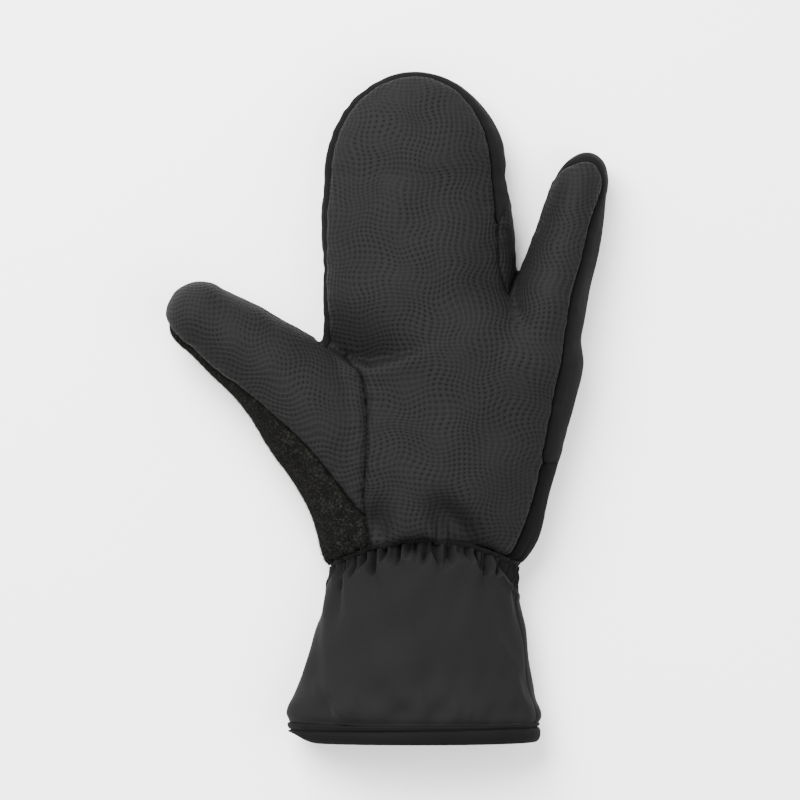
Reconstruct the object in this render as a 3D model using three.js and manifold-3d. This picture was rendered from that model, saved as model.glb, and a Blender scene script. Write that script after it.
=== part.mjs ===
// A padded winter riding mitt for the left hand, lying on its back with the palm up.
// Three fingers share one pocket, the little finger has its own, and the thumb stands out to the side.
// Each tube of the hand is a table of sections. The tubes join into one hollow shell, and the seams cut it
// into panels. Millimetres, +Z up: X runs across the hand, Y from the wrist to the fingertips.
import * as THREE from "three";
import { mergeVertices } from "three/addons/utils/BufferGeometryUtils.js";
import Module from "manifold-3d";

const wasm = await Module();
wasm.setup();

// Hand: palm and three-finger pocket
const HAND_LENGTH = 214; // wrist line to the tip of the pocket
const HAND_WIDTH = 110; // flat width over the knuckles
const HAND_DEPTH = 45; // table top to the crown of the palm
const POCKET_TIP = 45; // length of the rounded end of the pocket

// Little finger
const LITTLE_LENGTH = 119.5; // from its root inside the palm to its tip
const LITTLE_WIDTH = 34;
const LITTLE_DEPTH = 40;
const LITTLE_TIP = 18.5;

// Thumb
const THUMB_LENGTH = 104; // from its root inside the palm to its tip
const THUMB_WIDTH = 39; // across its middle
const THUMB_DEPTH = 42;
const THUMB_TIP = 16.5;
const THUMB_TURN = 150; // degrees from +X, seen from above

// Wrist, cuff and hem
const WRIST_WIDTH = 85;
const WRIST_DEPTH = 38;
const CASING_LENGTH = 9.5; // gathered elastic casing, at the sides of the wrist
const CASING_ARCH = 11; // how far the casing runs up into the palm at its middle
const CUFF_LENGTH = 57.5;
const CUFF_WIDTH = 109; // flat width at the hem
const CUFF_DEPTH = 40;
const FOLD_HEIGHT = 3.6; // turned hem of the cuff, a narrow roll
const BINDING_HEIGHT = 5.4; // bound edge below it
const ROLL_THICKNESS = 4.4;

// Cloth
const WALL = 3; // shell cloth, padding and lining of the hand
const CUFF_WALL = 2.2;
const SEAM_GAP = 0.3; // between neighbouring panels
const REST_PRESS = 4; // how far the padded back is pressed flat where it lies
const PLEATS = 24; // gathers round the wrist
const PLEAT_DEPTH = 2.2;

// Fineness of the lofts
const TIP_STEPS = 5;
const HEM_SIDES = 40;
const HEM_PROFILE = 6;
const SIDES_PER_PLEAT = 4;

// A table's value at any place along it, on a smooth curve through its rows.
function rowAt(rows, along) {
  const last = rows.length - 1;
  let i = 0;
  while (i < last - 1 && along > rows[i + 1].along) i++;
  const span = rows[i + 1].along - rows[i].along;
  const t = THREE.MathUtils.clamp((along - rows[i].along) / span, 0, 1);
  const found = {};
  for (const column of Object.keys(rows[0])) {
    const at = (n) => rows[THREE.MathUtils.clamp(n, 0, last)];
    const slope = (a, b) => ((b[column] - a[column]) / (b.along - a.along || 1)) * span;
    const [p0, p1] = [at(i)[column], at(i + 1)[column]];
    const [m0, m1] = [slope(at(i - 1), at(i + 1)), slope(at(i), at(i + 2))];
    const curve = t * t * (3 * (p1 - p0) - 2 * m0 - m1) + t * t * t * (2 * (p0 - p1) + m0 + m1);
    found[column] = p0 + t * m0 + curve;
  }
  return found;
}

// Rows of a tube hold shares of its named sizes: along of the length, bottom and top of the depth, the rest
// of the width. SeamLeft and seamRight tell how far inside the outline the seam of the palm side runs.
function sized(rows, length, width, depth) {
  return rows.map((r) => ({
    along: r.along * length,
    left: r.left * width,
    right: r.right * width,
    bottom: r.bottom * depth - REST_PRESS,
    top: r.top * depth,
    seamLeft: r.seamLeft * width,
    seamRight: r.seamRight * width,
  }));
}

// Palm and three-finger pocket, from below the wrist line to the start of the rounded end
const handRows = [
  { along: 0.07, left: -0.355, right: 0.482, bottom: 0, top: 0.92, seamLeft: 0.022, seamRight: 0.055 },
  { along: 0.15, left: -0.36, right: 0.522, bottom: 0, top: 0.97, seamLeft: 0.022, seamRight: 0.042 },
  { along: 0.24, left: -0.362, right: 0.575, bottom: 0, top: 1.0, seamLeft: 0.022, seamRight: 0.06 },
  { along: 0.33, left: -0.365, right: 0.618, bottom: 0, top: 1.0, seamLeft: 0.022, seamRight: 0.07 },
  { along: 0.42, left: -0.365, right: 0.625, bottom: 0, top: 0.98, seamLeft: 0.022, seamRight: 0.056 },
  { along: 0.48, left: -0.363, right: 0.55, bottom: 0, top: 0.96, seamLeft: 0.022, seamRight: 0.05 },
  { along: 0.54, left: -0.362, right: 0.415, bottom: 0, top: 0.94, seamLeft: 0.012, seamRight: 0.03 },
  { along: 0.6, left: -0.362, right: 0.405, bottom: 0, top: 0.92, seamLeft: 0.01, seamRight: 0.067 },
  { along: 0.7, left: -0.368, right: 0.391, bottom: 0, top: 0.88, seamLeft: 0.017, seamRight: 0.063 },
  { along: 0.79, left: -0.357, right: 0.363, bottom: 0.02, top: 0.82, seamLeft: 0.022, seamRight: 0.052 },
];
const wristRow = {
  along: 0,
  left: -0.447,
  right: 0.553,
  bottom: 0,
  top: 1,
  seamLeft: 0.028,
  seamRight: 0.076,
};
const hand = {
  rows: [
    ...sized([wristRow], HAND_LENGTH, WRIST_WIDTH, WRIST_DEPTH),
    ...sized(handRows, HAND_LENGTH, HAND_WIDTH, HAND_DEPTH),
  ],
  x: 0,
  y: 0,
  turn: 90,
  tip: POCKET_TIP,
  tipSeam: 1.4,
  lean: 0, // sideways run of the rounded end
  waist: 0.4, // height of the widest line, as a share of the depth
  sides: 26,
  steps: 13,
};

// Little finger. Centre is a share of the hand's width, half is half its own width as a share of it.
const littleRows = [
  { along: 0, centre: 0.44, half: 0.28, bottom: 0.12, top: 0.7, seamLeft: 0.05, seamRight: 0.05 },
  { along: 0.22, centre: 0.485, half: 0.485, bottom: 0.01, top: 0.95, seamLeft: 0.05, seamRight: 0.18 },
  { along: 0.36, centre: 0.503, half: 0.51, bottom: 0.01, top: 1.0, seamLeft: 0.05, seamRight: 0.195 },
  { along: 0.49, centre: 0.535, half: 0.49, bottom: 0.01, top: 0.96, seamLeft: 0.05, seamRight: 0.2 },
  { along: 0.6, centre: 0.571, half: 0.465, bottom: 0.02, top: 0.91, seamLeft: 0.05, seamRight: 0.18 },
  { along: 0.74, centre: 0.616, half: 0.425, bottom: 0.05, top: 0.85, seamLeft: 0.05, seamRight: 0.16 },
  { along: 0.845, centre: 0.641, half: 0.378, bottom: 0.08, top: 0.8, seamLeft: 0.05, seamRight: 0.07 },
];
const little = {
  rows: littleRows.map((r) => {
    const alone = { ...r, left: -r.half, right: r.half };
    const [row] = sized([alone], LITTLE_LENGTH, LITTLE_WIDTH, LITTLE_DEPTH);
    const centre = r.centre * HAND_WIDTH;
    return { ...row, left: row.left + centre, right: row.right + centre };
  }),
  x: 0,
  y: 0.28 * HAND_LENGTH,
  turn: 90,
  tip: LITTLE_TIP,
  tipSeam: 3.6,
  lean: 0.24,
  waist: 0.42,
  sides: 16,
  steps: 10,
};

// Thumb. Its left side faces the wrist, its right side the finger pocket. The root is as deep as the hand.
const thumbRootRows = [
  { along: -0.1, left: -1.74, right: 0.1, bottom: 0, top: 0.84, seamLeft: 0.72, seamRight: -0.3 },
  { along: 0.125, left: -1.32, right: 0.2, bottom: 0, top: 0.94, seamLeft: 0.43, seamRight: -0.3 },
];
const thumbRows = [
  { along: 0.28, left: -1.11, right: 0.27, bottom: 0.02, top: 1.0, seamLeft: 0.32, seamRight: -0.05 },
  { along: 0.44, left: -0.9, right: 0.27, bottom: 0.08, top: 0.99, seamLeft: 0.2, seamRight: 0.02 },
  { along: 0.555, left: -0.767, right: 0.262, bottom: 0.13, top: 0.97, seamLeft: 0.12, seamRight: 0.02 },
  { along: 0.69, left: -0.664, right: 0.258, bottom: 0.18, top: 0.95, seamLeft: 0.058, seamRight: 0.02 },
  { along: 0.842, left: -0.577, right: 0.222, bottom: 0.24, top: 0.93, seamLeft: 0.045, seamRight: 0.02 },
];
const thumb = {
  rows: [
    ...sized(thumbRootRows, THUMB_LENGTH, THUMB_WIDTH, HAND_DEPTH),
    ...sized(thumbRows, THUMB_LENGTH, THUMB_WIDTH, THUMB_DEPTH),
  ],
  x: -0.109 * HAND_WIDTH,
  y: 0.322 * HAND_LENGTH,
  turn: THUMB_TURN,
  tip: THUMB_TIP,
  tipSeam: 1.2,
  lean: 0.07,
  waist: 0.45,
  sides: 20,
  steps: 10,
};

// Dents of the palm: the fold at the root of the thumb, the hollow above the gathers, the cup of the palm.
// X and y are shares of the hand's width and length, and so are the two reaches. Turn is in degrees.
const dents = [
  { x: -0.17, y: 0.44, reachAlong: 0.2, reachAcross: 0.028, turn: -8, depth: 0.11 },
  { x: 0.15, y: 0.1, reachAlong: 0.055, reachAcross: 0.05, turn: 0, depth: 0.08 },
  { x: 0.12, y: 0.3, reachAlong: 0.3, reachAcross: 0.11, turn: 0, depth: 0.05 },
];

// How far the dents press the palm down at a place seen from above.
function dentAt(x, y) {
  let depth = 0;
  for (const d of dents) {
    const turn = THREE.MathUtils.degToRad(d.turn);
    const [dx, dy] = [x - d.x * HAND_WIDTH, y - d.y * HAND_LENGTH];
    const along = (dx * Math.cos(turn) + dy * Math.sin(turn)) / (d.reachAlong * HAND_WIDTH);
    const across = (dy * Math.cos(turn) - dx * Math.sin(turn)) / (d.reachAcross * HAND_LENGTH);
    depth += d.depth * HAND_DEPTH * Math.exp(-along * along - across * across);
  }
  return depth;
}

// A tube's own place, along and across, in the plan of the hand.
function inPlan(tube, along, across) {
  const turn = THREE.MathUtils.degToRad(tube.turn);
  return new THREE.Vector2(
    tube.x + along * Math.cos(turn) + across * Math.sin(turn),
    tube.y + along * Math.sin(turn) - across * Math.cos(turn),
  );
}

// One section of a tube, taken in by inset on every side. End, from 0 to 1, runs over the rounded tip.
function section(tube, along, end, inset) {
  const r = rowAt(tube.rows, along);
  const shrink = Math.cos((end * Math.PI) / 2);
  const reach = (tube.tip - inset) * Math.sin((end * Math.PI) / 2);
  return {
    along: along + reach,
    centre: (r.left + r.right) / 2 + tube.lean * reach,
    half: ((r.right - r.left) / 2 - inset) * shrink,
    middle: r.bottom + tube.waist * (r.top - r.bottom),
    rise: ((1 - tube.waist) * (r.top - r.bottom) - inset) * shrink,
    fall: (tube.waist * (r.top - r.bottom) - inset) * shrink,
    floor: inset,
  };
}

// The points round a section. The upper half follows the dents, the lower half is pressed flat where it lies.
function ringOf(tube, s) {
  return Array.from({ length: tube.sides }, (_, i) => {
    const angle = (2 * Math.PI * i) / tube.sides;
    const [across, lift] = [s.centre + s.half * Math.cos(angle), Math.sin(angle)];
    const p = inPlan(tube, s.along, across);
    const z = s.middle + lift * (lift > 0 ? s.rise : s.fall) - Math.max(lift, 0) * dentAt(p.x, p.y);
    return new THREE.Vector3(p.x, p.y, Math.max(z, s.floor));
  });
}

const ROOT_RUN = 16; // the hand's loft starts this far below the wrist line, where it is cut

// The sections of a tube from its root to its tip, ending on one point.
function ringsOf(tube, inset) {
  const [first, last] = [tube.rows[0].along - (tube === hand ? ROOT_RUN : 0), tube.rows.at(-1).along];
  const sections = [];
  for (let i = 0; i <= tube.steps; i++)
    sections.push(section(tube, THREE.MathUtils.lerp(first, last, i / tube.steps), 0, inset));
  for (let i = 1; i <= TIP_STEPS; i++) sections.push(section(tube, last, i / TIP_STEPS, inset));
  return sections.map((s) => ringOf(tube, s));
}

// Turns rings of points into one closed solid. Its two ends are closed by a fan, or joined if looped.
function solidOf(rings, looped = false) {
  const sides = rings[0].length;
  const points = rings.flat();
  const faces = [];
  const quads = looped ? rings.length : rings.length - 1;
  for (let i = 0; i < quads; i++)
    for (let j = 0; j < sides; j++) {
      const [k, next] = [(i + 1) % rings.length, (j + 1) % sides];
      const [a, b, c, d] = [i * sides + j, i * sides + next, k * sides + j, k * sides + next];
      faces.push(a, b, d, a, d, c);
    }
  for (const end of looped ? [] : [0, rings.length - 1]) {
    const hub = points.length;
    points.push(rings[end].reduce((sum, p) => sum.add(p), new THREE.Vector3()).divideScalar(sides));
    for (let j = 0; j < sides; j++) {
      const [a, b] = [end * sides + j, end * sides + ((j + 1) % sides)];
      faces.push(...(end > 0 ? [a, b, hub] : [b, a, hub]));
    }
  }
  return manifoldOf(new THREE.BufferGeometry().setFromPoints(points).setIndex(faces));
}

// A closed three.js geometry as a solid for cutting and joining, with its faces turned out.
function manifoldOf(geometry) {
  for (const name of ["normal", "uv"]) geometry.deleteAttribute(name);
  const merged = mergeVertices(geometry, 1e-4);
  const triVerts = [];
  const index = merged.index.array;
  for (let i = 0; i < index.length; i += 3) {
    const [a, b, c] = [index[i], index[i + 1], index[i + 2]];
    if (a !== b && b !== c && c !== a) triVerts.push(a, b, c);
  }
  const build = () =>
    new wasm.Manifold(
      new wasm.Mesh({
        numProp: 3,
        vertProperties: new Float32Array(merged.attributes.position.array),
        triVerts: new Uint32Array(triVerts),
      }),
    );
  const solid = build();
  if (solid.volume() > 0) return solid;
  triVerts.reverse();
  return build();
}

// An upright block over an outline seen from above.
function prism(points, low, high) {
  const shape = new THREE.Shape(points);
  const geometry = new THREE.ExtrudeGeometry(shape, { depth: high - low, bevelEnabled: false });
  return manifoldOf(geometry.translate(0, 0, low));
}

const FAR = HAND_LENGTH + HAND_WIDTH; // past every piece
const LID = 2 * HAND_DEPTH;
const KNIFE_IN = 2 * WALL; // how deep a slanted seam cut reaches below the surface
const KNIFE_OUT = WALL / 2;

// The space over the seam line that runs inside a tube's outline, from the place named start to its tip.
// Its wall slants through the padding, so a panel's edge is cut square to the cloth. Grow moves it out.
function overSeam(tube, start, grow) {
  const last = tube.rows.at(-1).along;
  const line = [];
  const add = (along, end, side) => {
    const turn = (end * Math.PI) / 2;
    const squeeze = 1 - tube.tipSeam / tube.tip;
    const s = section(tube, along, Math.asin(squeeze * Math.sin(turn)) / (Math.PI / 2), 0);
    const row = rowAt(tube.rows, along);
    const inset = side < 0 ? row.seamLeft : row.seamRight;
    const reach = ((row.right - row.left) / 2 - inset) * Math.cos(turn);
    line.push({ along: s.along, across: s.centre + side * reach, s });
  };
  const steps = tube.steps;
  const tipSteps = TIP_STEPS + 2;
  for (let i = 0; i <= steps; i++) add(THREE.MathUtils.lerp(start, last, i / steps), 0, 1);
  for (let i = 1; i < tipSteps; i++) add(last, i / tipSteps, 1);
  for (let i = tipSteps; i > 0; i--) add(last, i / tipSteps, -1);
  for (let i = steps; i >= 0; i--) add(THREE.MathUtils.lerp(start, last, i / steps), 0, -1);

  const levels = [[-KNIFE_IN, -KNIFE_IN - grow], [KNIFE_OUT, KNIFE_OUT], [KNIFE_OUT, LID]];
  const rings = levels.map(([out, up]) =>
    line.map((p, i) => {
      const [before, after] = [line[Math.max(i - 1, 0)], line[Math.min(i + 1, line.length - 1)]];
      const normal = new THREE.Vector2(after.along - before.along, before.across - after.across);
      normal.setLength(out + grow);
      const share = THREE.MathUtils.clamp((p.across - p.s.centre) / Math.max(p.s.half, 1), -1, 1);
      const height = p.s.middle + p.s.rise * Math.sqrt(1 - share * share);
      const spot = inPlan(tube, p.along + normal.y, p.across + normal.x);
      return new THREE.Vector3(spot.x, spot.y, height + up);
    }),
  );
  const plan = rings[1].map((p) => new THREE.Vector2(p.x, p.y));
  const lids = THREE.ShapeUtils.triangulateShape(plan, []);
  const count = line.length;
  const faces = [];
  for (let k = 0; k < rings.length - 1; k++)
    for (let i = 0; i < count; i++) {
      const [a, b] = [k * count + i, k * count + ((i + 1) % count)];
      faces.push(a, b, b + count, a, b + count, a + count);
    }
  for (const [a, b, c] of lids) faces.push(c, b, a, a + 2 * count, b + 2 * count, c + 2 * count);
  return manifoldOf(new THREE.BufferGeometry().setFromPoints(rings.flat()).setIndex(faces));
}

// The seam round the root of the thumb, seen from above, as shares of the hand's width and length.
const thumbSeam = [
  { x: -0.376, y: 0.462 },
  { x: -0.358, y: 0.447 },
  { x: -0.285, y: 0.433 },
  { x: -0.238, y: 0.407 },
  { x: -0.207, y: 0.367 },
  { x: -0.187, y: 0.316 },
  { x: -0.187, y: 0.256 },
  { x: -0.195, y: 0.176 },
  { x: -0.199, y: 0.134 },
  { x: -0.172, y: 0.055 },
  { x: -0.16, y: -0.08 },
];

// Everything on the thumb's side of its root seam, which grow moves towards the hand.
function thumbSide(grow) {
  const spots = thumbSeam.map((p) => new THREE.Vector2(p.x * HAND_WIDTH, p.y * HAND_LENGTH));
  const curve = new THREE.SplineCurve(spots);
  const steps = Math.round(1.5 * spots.length);
  const line = Array.from({ length: steps + 1 }, (_, i) => {
    const tangent = curve.getTangent(i / steps);
    return curve.getPoint(i / steps).addScaledVector(new THREE.Vector2(-tangent.y, tangent.x), grow);
  });
  const corners = [[-FAR, line.at(-1).y], [-FAR, FAR], [line[0].x, FAR]];
  return prism([...line, ...corners.map(([x, y]) => new THREE.Vector2(x, y))], -LID, LID);
}

// The crotch of the two finger pockets, seen from above, as shares of the hand's width and length.
const gussetPlan = [
  { x: 0.22, y: 0.46 },
  { x: 0.53, y: 0.46 },
  { x: 0.57, y: 0.7 },
  { x: 0.46, y: 0.64 },
  { x: 0.445, y: 0.81 },
  { x: 0.22, y: 0.58 },
];
const GUSSET_FOOT = 9; // height of its seam with the back of the hand

// An anticlockwise outline with each side moved outwards by grow.
function grown(points, grow) {
  return points.map((p, i) => {
    const before = p.clone().sub(points.at(i - 1)).normalize();
    const after = points[(i + 1) % points.length].clone().sub(p).normalize();
    const bisector = new THREE.Vector2(before.y + after.y, -before.x - after.x).normalize();
    return p.clone().addScaledVector(bisector, grow / (bisector.x * before.y - bisector.y * before.x));
  });
}

function gussetSpace(grow) {
  const spots = gussetPlan.map((p) => new THREE.Vector2(p.x * HAND_WIDTH, p.y * HAND_LENGTH));
  return prism(grown(spots, grow), GUSSET_FOOT - grow, LID);
}

// The line where the gathered casing meets the panels, seen from above: an arch over the wrist.
const WRIST_MIDDLE = 0.053 * WRIST_WIDTH;
function archAt(x) {
  const share = THREE.MathUtils.clamp((x - WRIST_MIDDLE) / (WRIST_WIDTH / 2), -1, 1);
  return CASING_ARCH * (1 - share * share);
}

// Everything on the finger side of that line.
function aboveWrist() {
  const steps = 12;
  const line = Array.from({ length: steps + 1 }, (_, i) => {
    const x = WRIST_MIDDLE + (i / steps - 0.5) * 1.2 * WRIST_WIDTH;
    return new THREE.Vector2(x, archAt(x));
  });
  const corners = [[FAR, 0], [FAR, FAR], [-FAR, FAR], [-FAR, 0]];
  return prism([...line, ...corners.map(([x, y]) => new THREE.Vector2(x, y))], -LID, LID);
}

// The hollow hand, from its three tubes
const tubes = [hand, little, thumb];
const joined = (inset) =>
  tubes.map((tube) => solidOf(ringsOf(tube, inset))).reduce((all, next) => all.add(next));
const shell = joined(0).subtract(joined(WALL)).intersect(aboveWrist());

// Parts a solid along a seam: what lies inside a space, and what lies outside it. The seam's gap is between.
function partedBy(space, solid) {
  const inside = solid.intersect(space(-SEAM_GAP / 2));
  return [inside, solid.subtract(space(SEAM_GAP / 2)).subtract(inside)];
}

const YOKE_SEAM = 0.21 * HAND_LENGTH;
function yokeSpace(grow) {
  const corners = [[-FAR, -FAR], [FAR, -FAR], [FAR, YOKE_SEAM + grow], [-FAR, YOKE_SEAM + grow]];
  return prism(corners.map(([x, y]) => new THREE.Vector2(x, y)), -LID, LID);
}
const palmSpace = (grow) => overSeam(hand, -ROOT_RUN, grow).add(overSeam(little, 0, grow));
const thumbFrontSpace = (grow) => overSeam(thumb, -0.3 * THUMB_LENGTH, grow);

// The shell cut along its seams
const [thumbShell, handShell] = partedBy(thumbSide, shell);
const [palmPanel, wrap] = partedBy(palmSpace, handShell);
const [gusset, wholeBack] = partedBy(gussetSpace, wrap);
const [yoke, back] = partedBy(yokeSpace, wholeBack);
const [thumbFront, thumbBack] = partedBy(thumbFrontSpace, thumbShell);

// The sleeve below the hand: sections by distance below the wrist line, as shares of the sizes they follow
const SLEEVE_LENGTH = CASING_LENGTH + CUFF_LENGTH + FOLD_HEIGHT + BINDING_HEIGHT;
const sleeveRows = [
  { along: -CASING_ARCH, left: -0.45 * WRIST_WIDTH, right: 0.56 * WRIST_WIDTH, top: WRIST_DEPTH },
  { along: 0, left: -0.447 * WRIST_WIDTH, right: 0.553 * WRIST_WIDTH, top: WRIST_DEPTH },
  { along: CASING_LENGTH, left: -0.458 * WRIST_WIDTH, right: 0.537 * WRIST_WIDTH, top: WRIST_DEPTH },
  ...[
    { along: 0.35, left: -0.398, right: 0.445, top: 0.96 },
    { along: 0.6, left: -0.45, right: 0.467, top: 0.98 },
    { along: 0.82, left: -0.503, right: 0.493, top: 1.0 },
    { along: 0.9, left: -0.506, right: 0.497, top: 1.0 },
    { along: 1, left: -0.475, right: 0.492, top: 0.99 },
  ].map((r) => ({
    along: r.along * SLEEVE_LENGTH,
    left: r.left * CUFF_WIDTH,
    right: r.right * CUFF_WIDTH,
    top: r.top * CUFF_DEPTH,
  })),
];
const SLEEVE_WAIST = 0.42;
const PLEAT_FADE = 16; // the gathers die away over this length of cuff

// A point of the sleeve at an angle round it. Out moves it off the outer face, so it is negative inside.
function sleevePoint(below, angle, out) {
  const r = rowAt(sleeveRows, below);
  const [half, centre] = [(r.right - r.left) / 2, (r.left + r.right) / 2];
  const middle = SLEEVE_WAIST * (r.top + REST_PRESS) - REST_PRESS;
  const lift = Math.sin(angle);
  const reach = lift > 0 ? r.top - middle : middle + REST_PRESS;
  const fade = Math.exp(-Math.max(below - CASING_LENGTH, 0) / PLEAT_FADE);
  const pleat = (PLEAT_DEPTH / 2) * (Math.cos(PLEATS * angle) - 1) * fade;
  const z = middle + lift * (reach + out + pleat);
  const x = centre + (half + out + pleat) * Math.cos(angle);
  return new THREE.Vector3(x, -below, Math.max(z, -Math.min(out, 0)));
}

// A length of sleeve with a wall, between two lines round it.
function sleevePiece(from, to, steps, sides, wall) {
  const ring = (share, out) =>
    Array.from({ length: sides }, (_, i) => {
      const angle = (2 * Math.PI * i) / sides;
      const place = sleevePoint(0, angle, 0);
      const below = THREE.MathUtils.lerp(from(place.x), to, share);
      return sleevePoint(below, angle, out);
    });
  const shares = Array.from({ length: steps + 1 }, (_, i) => i / steps);
  return solidOf([...shares.map((s) => ring(s, 0)), ...shares.reverse().map((s) => ring(s, -wall))], true);
}

const sleeveSides = PLEATS * SIDES_PER_PLEAT;
const casing = sleevePiece((x) => SEAM_GAP - archAt(x), CASING_LENGTH, 3, sleeveSides, CUFF_WALL);
const cuffTop = CASING_LENGTH + SEAM_GAP;
const cuffEnd = CASING_LENGTH + CUFF_LENGTH;
const cuff = sleevePiece(() => cuffTop, cuffEnd, 6, sleeveSides / 2, CUFF_WALL);

// A rounded roll of cloth round the mouth of the cuff.
function roll(from, height) {
  const rings = Array.from({ length: HEM_PROFILE }, (_, j) => {
    const turn = (2 * Math.PI * j) / HEM_PROFILE;
    const below = from + (height / 2) * (1 - Math.cos(turn));
    const out = (ROLL_THICKNESS / 2) * Math.sin(turn) - CUFF_WALL / 2;
    return Array.from({ length: HEM_SIDES }, (_, i) => {
      const p = sleevePoint(below, (2 * Math.PI * i) / HEM_SIDES, out);
      p.z = Math.max(p.z, (1 - Math.sin(turn)) * (ROLL_THICKNESS / 2));
      return p;
    });
  });
  return solidOf(rings, true);
}

const hemFold = roll(cuffEnd + SEAM_GAP, FOLD_HEIGHT - SEAM_GAP);
const hemBinding = roll(cuffEnd + FOLD_HEIGHT + SEAM_GAP, BINDING_HEIGHT - SEAM_GAP);

// The largest body of a cut solid, without crumbs from the cut.
function mainBody(solid) {
  return solid.decompose().reduce((most, body) => (body.volume() > most.volume() ? body : most));
}

function meshOf(name, solid, material) {
  const { numProp, vertProperties, triVerts } = mainBody(solid).getMesh();
  const positions = [];
  for (let i = 0; i < vertProperties.length; i += numProp)
    positions.push(...vertProperties.subarray(i, i + 3));
  const geometry = new THREE.BufferGeometry();
  geometry.setAttribute("position", new THREE.Float32BufferAttribute(positions, 3));
  geometry.setIndex(Array.from(triVerts));
  geometry.computeVertexNormals();
  const mesh = new THREE.Mesh(geometry, material);
  mesh.name = name;
  return mesh;
}

// Embossed synthetic leather, softshell, brushed fleece, plain nylon, and its bound edge
const grip = new THREE.MeshStandardMaterial({ color: 0x3a3a3b, roughness: 0.62, metalness: 0 });
const softshell = new THREE.MeshStandardMaterial({ color: 0x222223, roughness: 0.85, metalness: 0 });
const fleece = new THREE.MeshStandardMaterial({ color: 0x1d1d1b, roughness: 1, metalness: 0 });
const nylon = new THREE.MeshStandardMaterial({ color: 0x333334, roughness: 0.55, metalness: 0 });
const binding = new THREE.MeshStandardMaterial({ color: 0x28282a, roughness: 0.6, metalness: 0 });

const mitt = new THREE.Group();
mitt.add(
  meshOf("palm_panel", palmPanel, grip),
  meshOf("finger_gusset", gusset, grip),
  meshOf("back_panel", back, softshell),
  meshOf("back_yoke", yoke, nylon),
  meshOf("thumb_front_panel", thumbFront, grip),
  meshOf("thumb_back_panel", thumbBack, fleece),
  meshOf("wrist_casing", casing, nylon),
  meshOf("cuff", cuff, nylon),
  meshOf("hem_fold", hemFold, nylon),
  meshOf("hem_binding", hemBinding, binding),
);

// The origin is the middle of the mitt's outline, on the table top.
const box = new THREE.Box3().setFromObject(mitt);
mitt.position.set(-(box.min.x + box.max.x) / 2, -(box.min.y + box.max.y) / 2, -box.min.z);

export default mitt;
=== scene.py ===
import math

import bpy
import numpy as np
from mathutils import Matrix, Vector


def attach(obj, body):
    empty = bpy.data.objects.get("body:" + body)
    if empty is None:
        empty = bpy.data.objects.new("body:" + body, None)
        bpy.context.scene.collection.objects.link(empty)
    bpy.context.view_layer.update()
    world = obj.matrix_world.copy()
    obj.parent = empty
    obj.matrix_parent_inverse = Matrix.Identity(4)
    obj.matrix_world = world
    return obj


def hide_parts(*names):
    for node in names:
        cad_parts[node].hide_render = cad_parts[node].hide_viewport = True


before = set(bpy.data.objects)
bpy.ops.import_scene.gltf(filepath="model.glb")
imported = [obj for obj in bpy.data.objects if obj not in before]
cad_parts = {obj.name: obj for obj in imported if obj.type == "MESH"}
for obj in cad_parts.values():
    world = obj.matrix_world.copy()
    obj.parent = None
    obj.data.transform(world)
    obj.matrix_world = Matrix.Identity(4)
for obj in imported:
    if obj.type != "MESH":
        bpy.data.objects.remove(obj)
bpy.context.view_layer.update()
print("frame loaded:", len(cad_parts), "nodes")

# The hand is worked out in millimetres, with the wrist line at y 0 and the palm up, then moved to the frame.
mitt = {
    "moveX": 11.427, "moveY": -69.03,  # from the wrist line to the frame's origin
    "step": 0.95,  # size of the cloth's mesh
    "wall": 2.4,
    "restPress": 4.0,  # how far the padded back is pressed flat
    "littleBlend": 14.0, "crotchBlend": 2.5,  # roundness where the little finger joins, low and in the crotch
    "crotchFrom": 88, "crotchTo": 112,  # where along the hand the one passes into the other
    "thumbBlend": 9.0, "webBlend": 3.0,  # the same for the thumb, low down and in its crotch
    "webFrom": 60, "webTo": 86,
    "blockFrom": (-110, -9, -2.3), "blockTo": (86, 219, 49),  # the space searched for the hand's surface
    "flatUpTo": 0.2, "reliefFrom": 3.2,  # seams and folds fade out towards the floor between these heights
    "hollowFrom": -46, "hollowTo": -32,  # the palm's hollows reach the thumb's root between these x
    "edge": 2.0,  # roundness at the flat underside
    "sharpAngle": 62,
}
wrist = {  # the flattened ring of the elastic wrist: middle, half sizes, length round it, height of the arch
    "middleX": 4.5, "middleZ": 13.4, "halfX": 42.5, "halfZ": 21.0, "round": 208.0, "arch": 11.0,
}


def bell(x, reach):  # a bell curve, one in the middle
    return np.exp(-((x / reach) ** 2))


def ramp(x, start, end):  # nought before the start, one after the end, straight in between
    return np.clip((x - start) / (end - start), 0, 1)


def eased(t):  # softens both ends of a ramp
    return t * t * (3 - 2 * t)


def rowsAt(rows, along):  # a smooth curve through the rows of a table, read at many places
    rows = np.asarray(rows, float)
    last = len(rows) - 1
    i = np.clip(np.searchsorted(rows[:, 0], along, side="left") - 1, 0, last - 1)
    before, after = np.maximum(i - 1, 0), np.minimum(i + 2, last)
    span = rows[i + 1, 0] - rows[i, 0]
    t = np.clip((along - rows[i, 0]) / span, 0, 1)[:, None]
    m0 = (rows[i + 1] - rows[before]) * (span / (rows[i + 1, 0] - rows[before, 0]))[:, None]
    m1 = (rows[after] - rows[i]) * (span / (rows[after, 0] - rows[i, 0]))[:, None]
    p0, p1 = rows[i], rows[i + 1]
    return p0 + t * m0 + t**2 * (3 * (p1 - p0) - 2 * m0 - m1) + t**3 * (2 * (p0 - p1) + m0 + m1)


def sizedRows(rows, length, width, depth):  # shares of the tube's sizes to millimetres
    rows = np.array(rows, float) * [length, width, width, depth, depth, width, width]
    rows[:, 3] -= mitt["restPress"]
    return rows


def fineTable(rows):  # the same table at every quarter millimetre, for fast reading
    rows = np.vstack(rows)
    along = np.arange(rows[0, 0], rows[-1, 0] + 0.2, 0.25)
    table = rowsAt(rows, along)
    table[:, 0] = along
    return table


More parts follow.
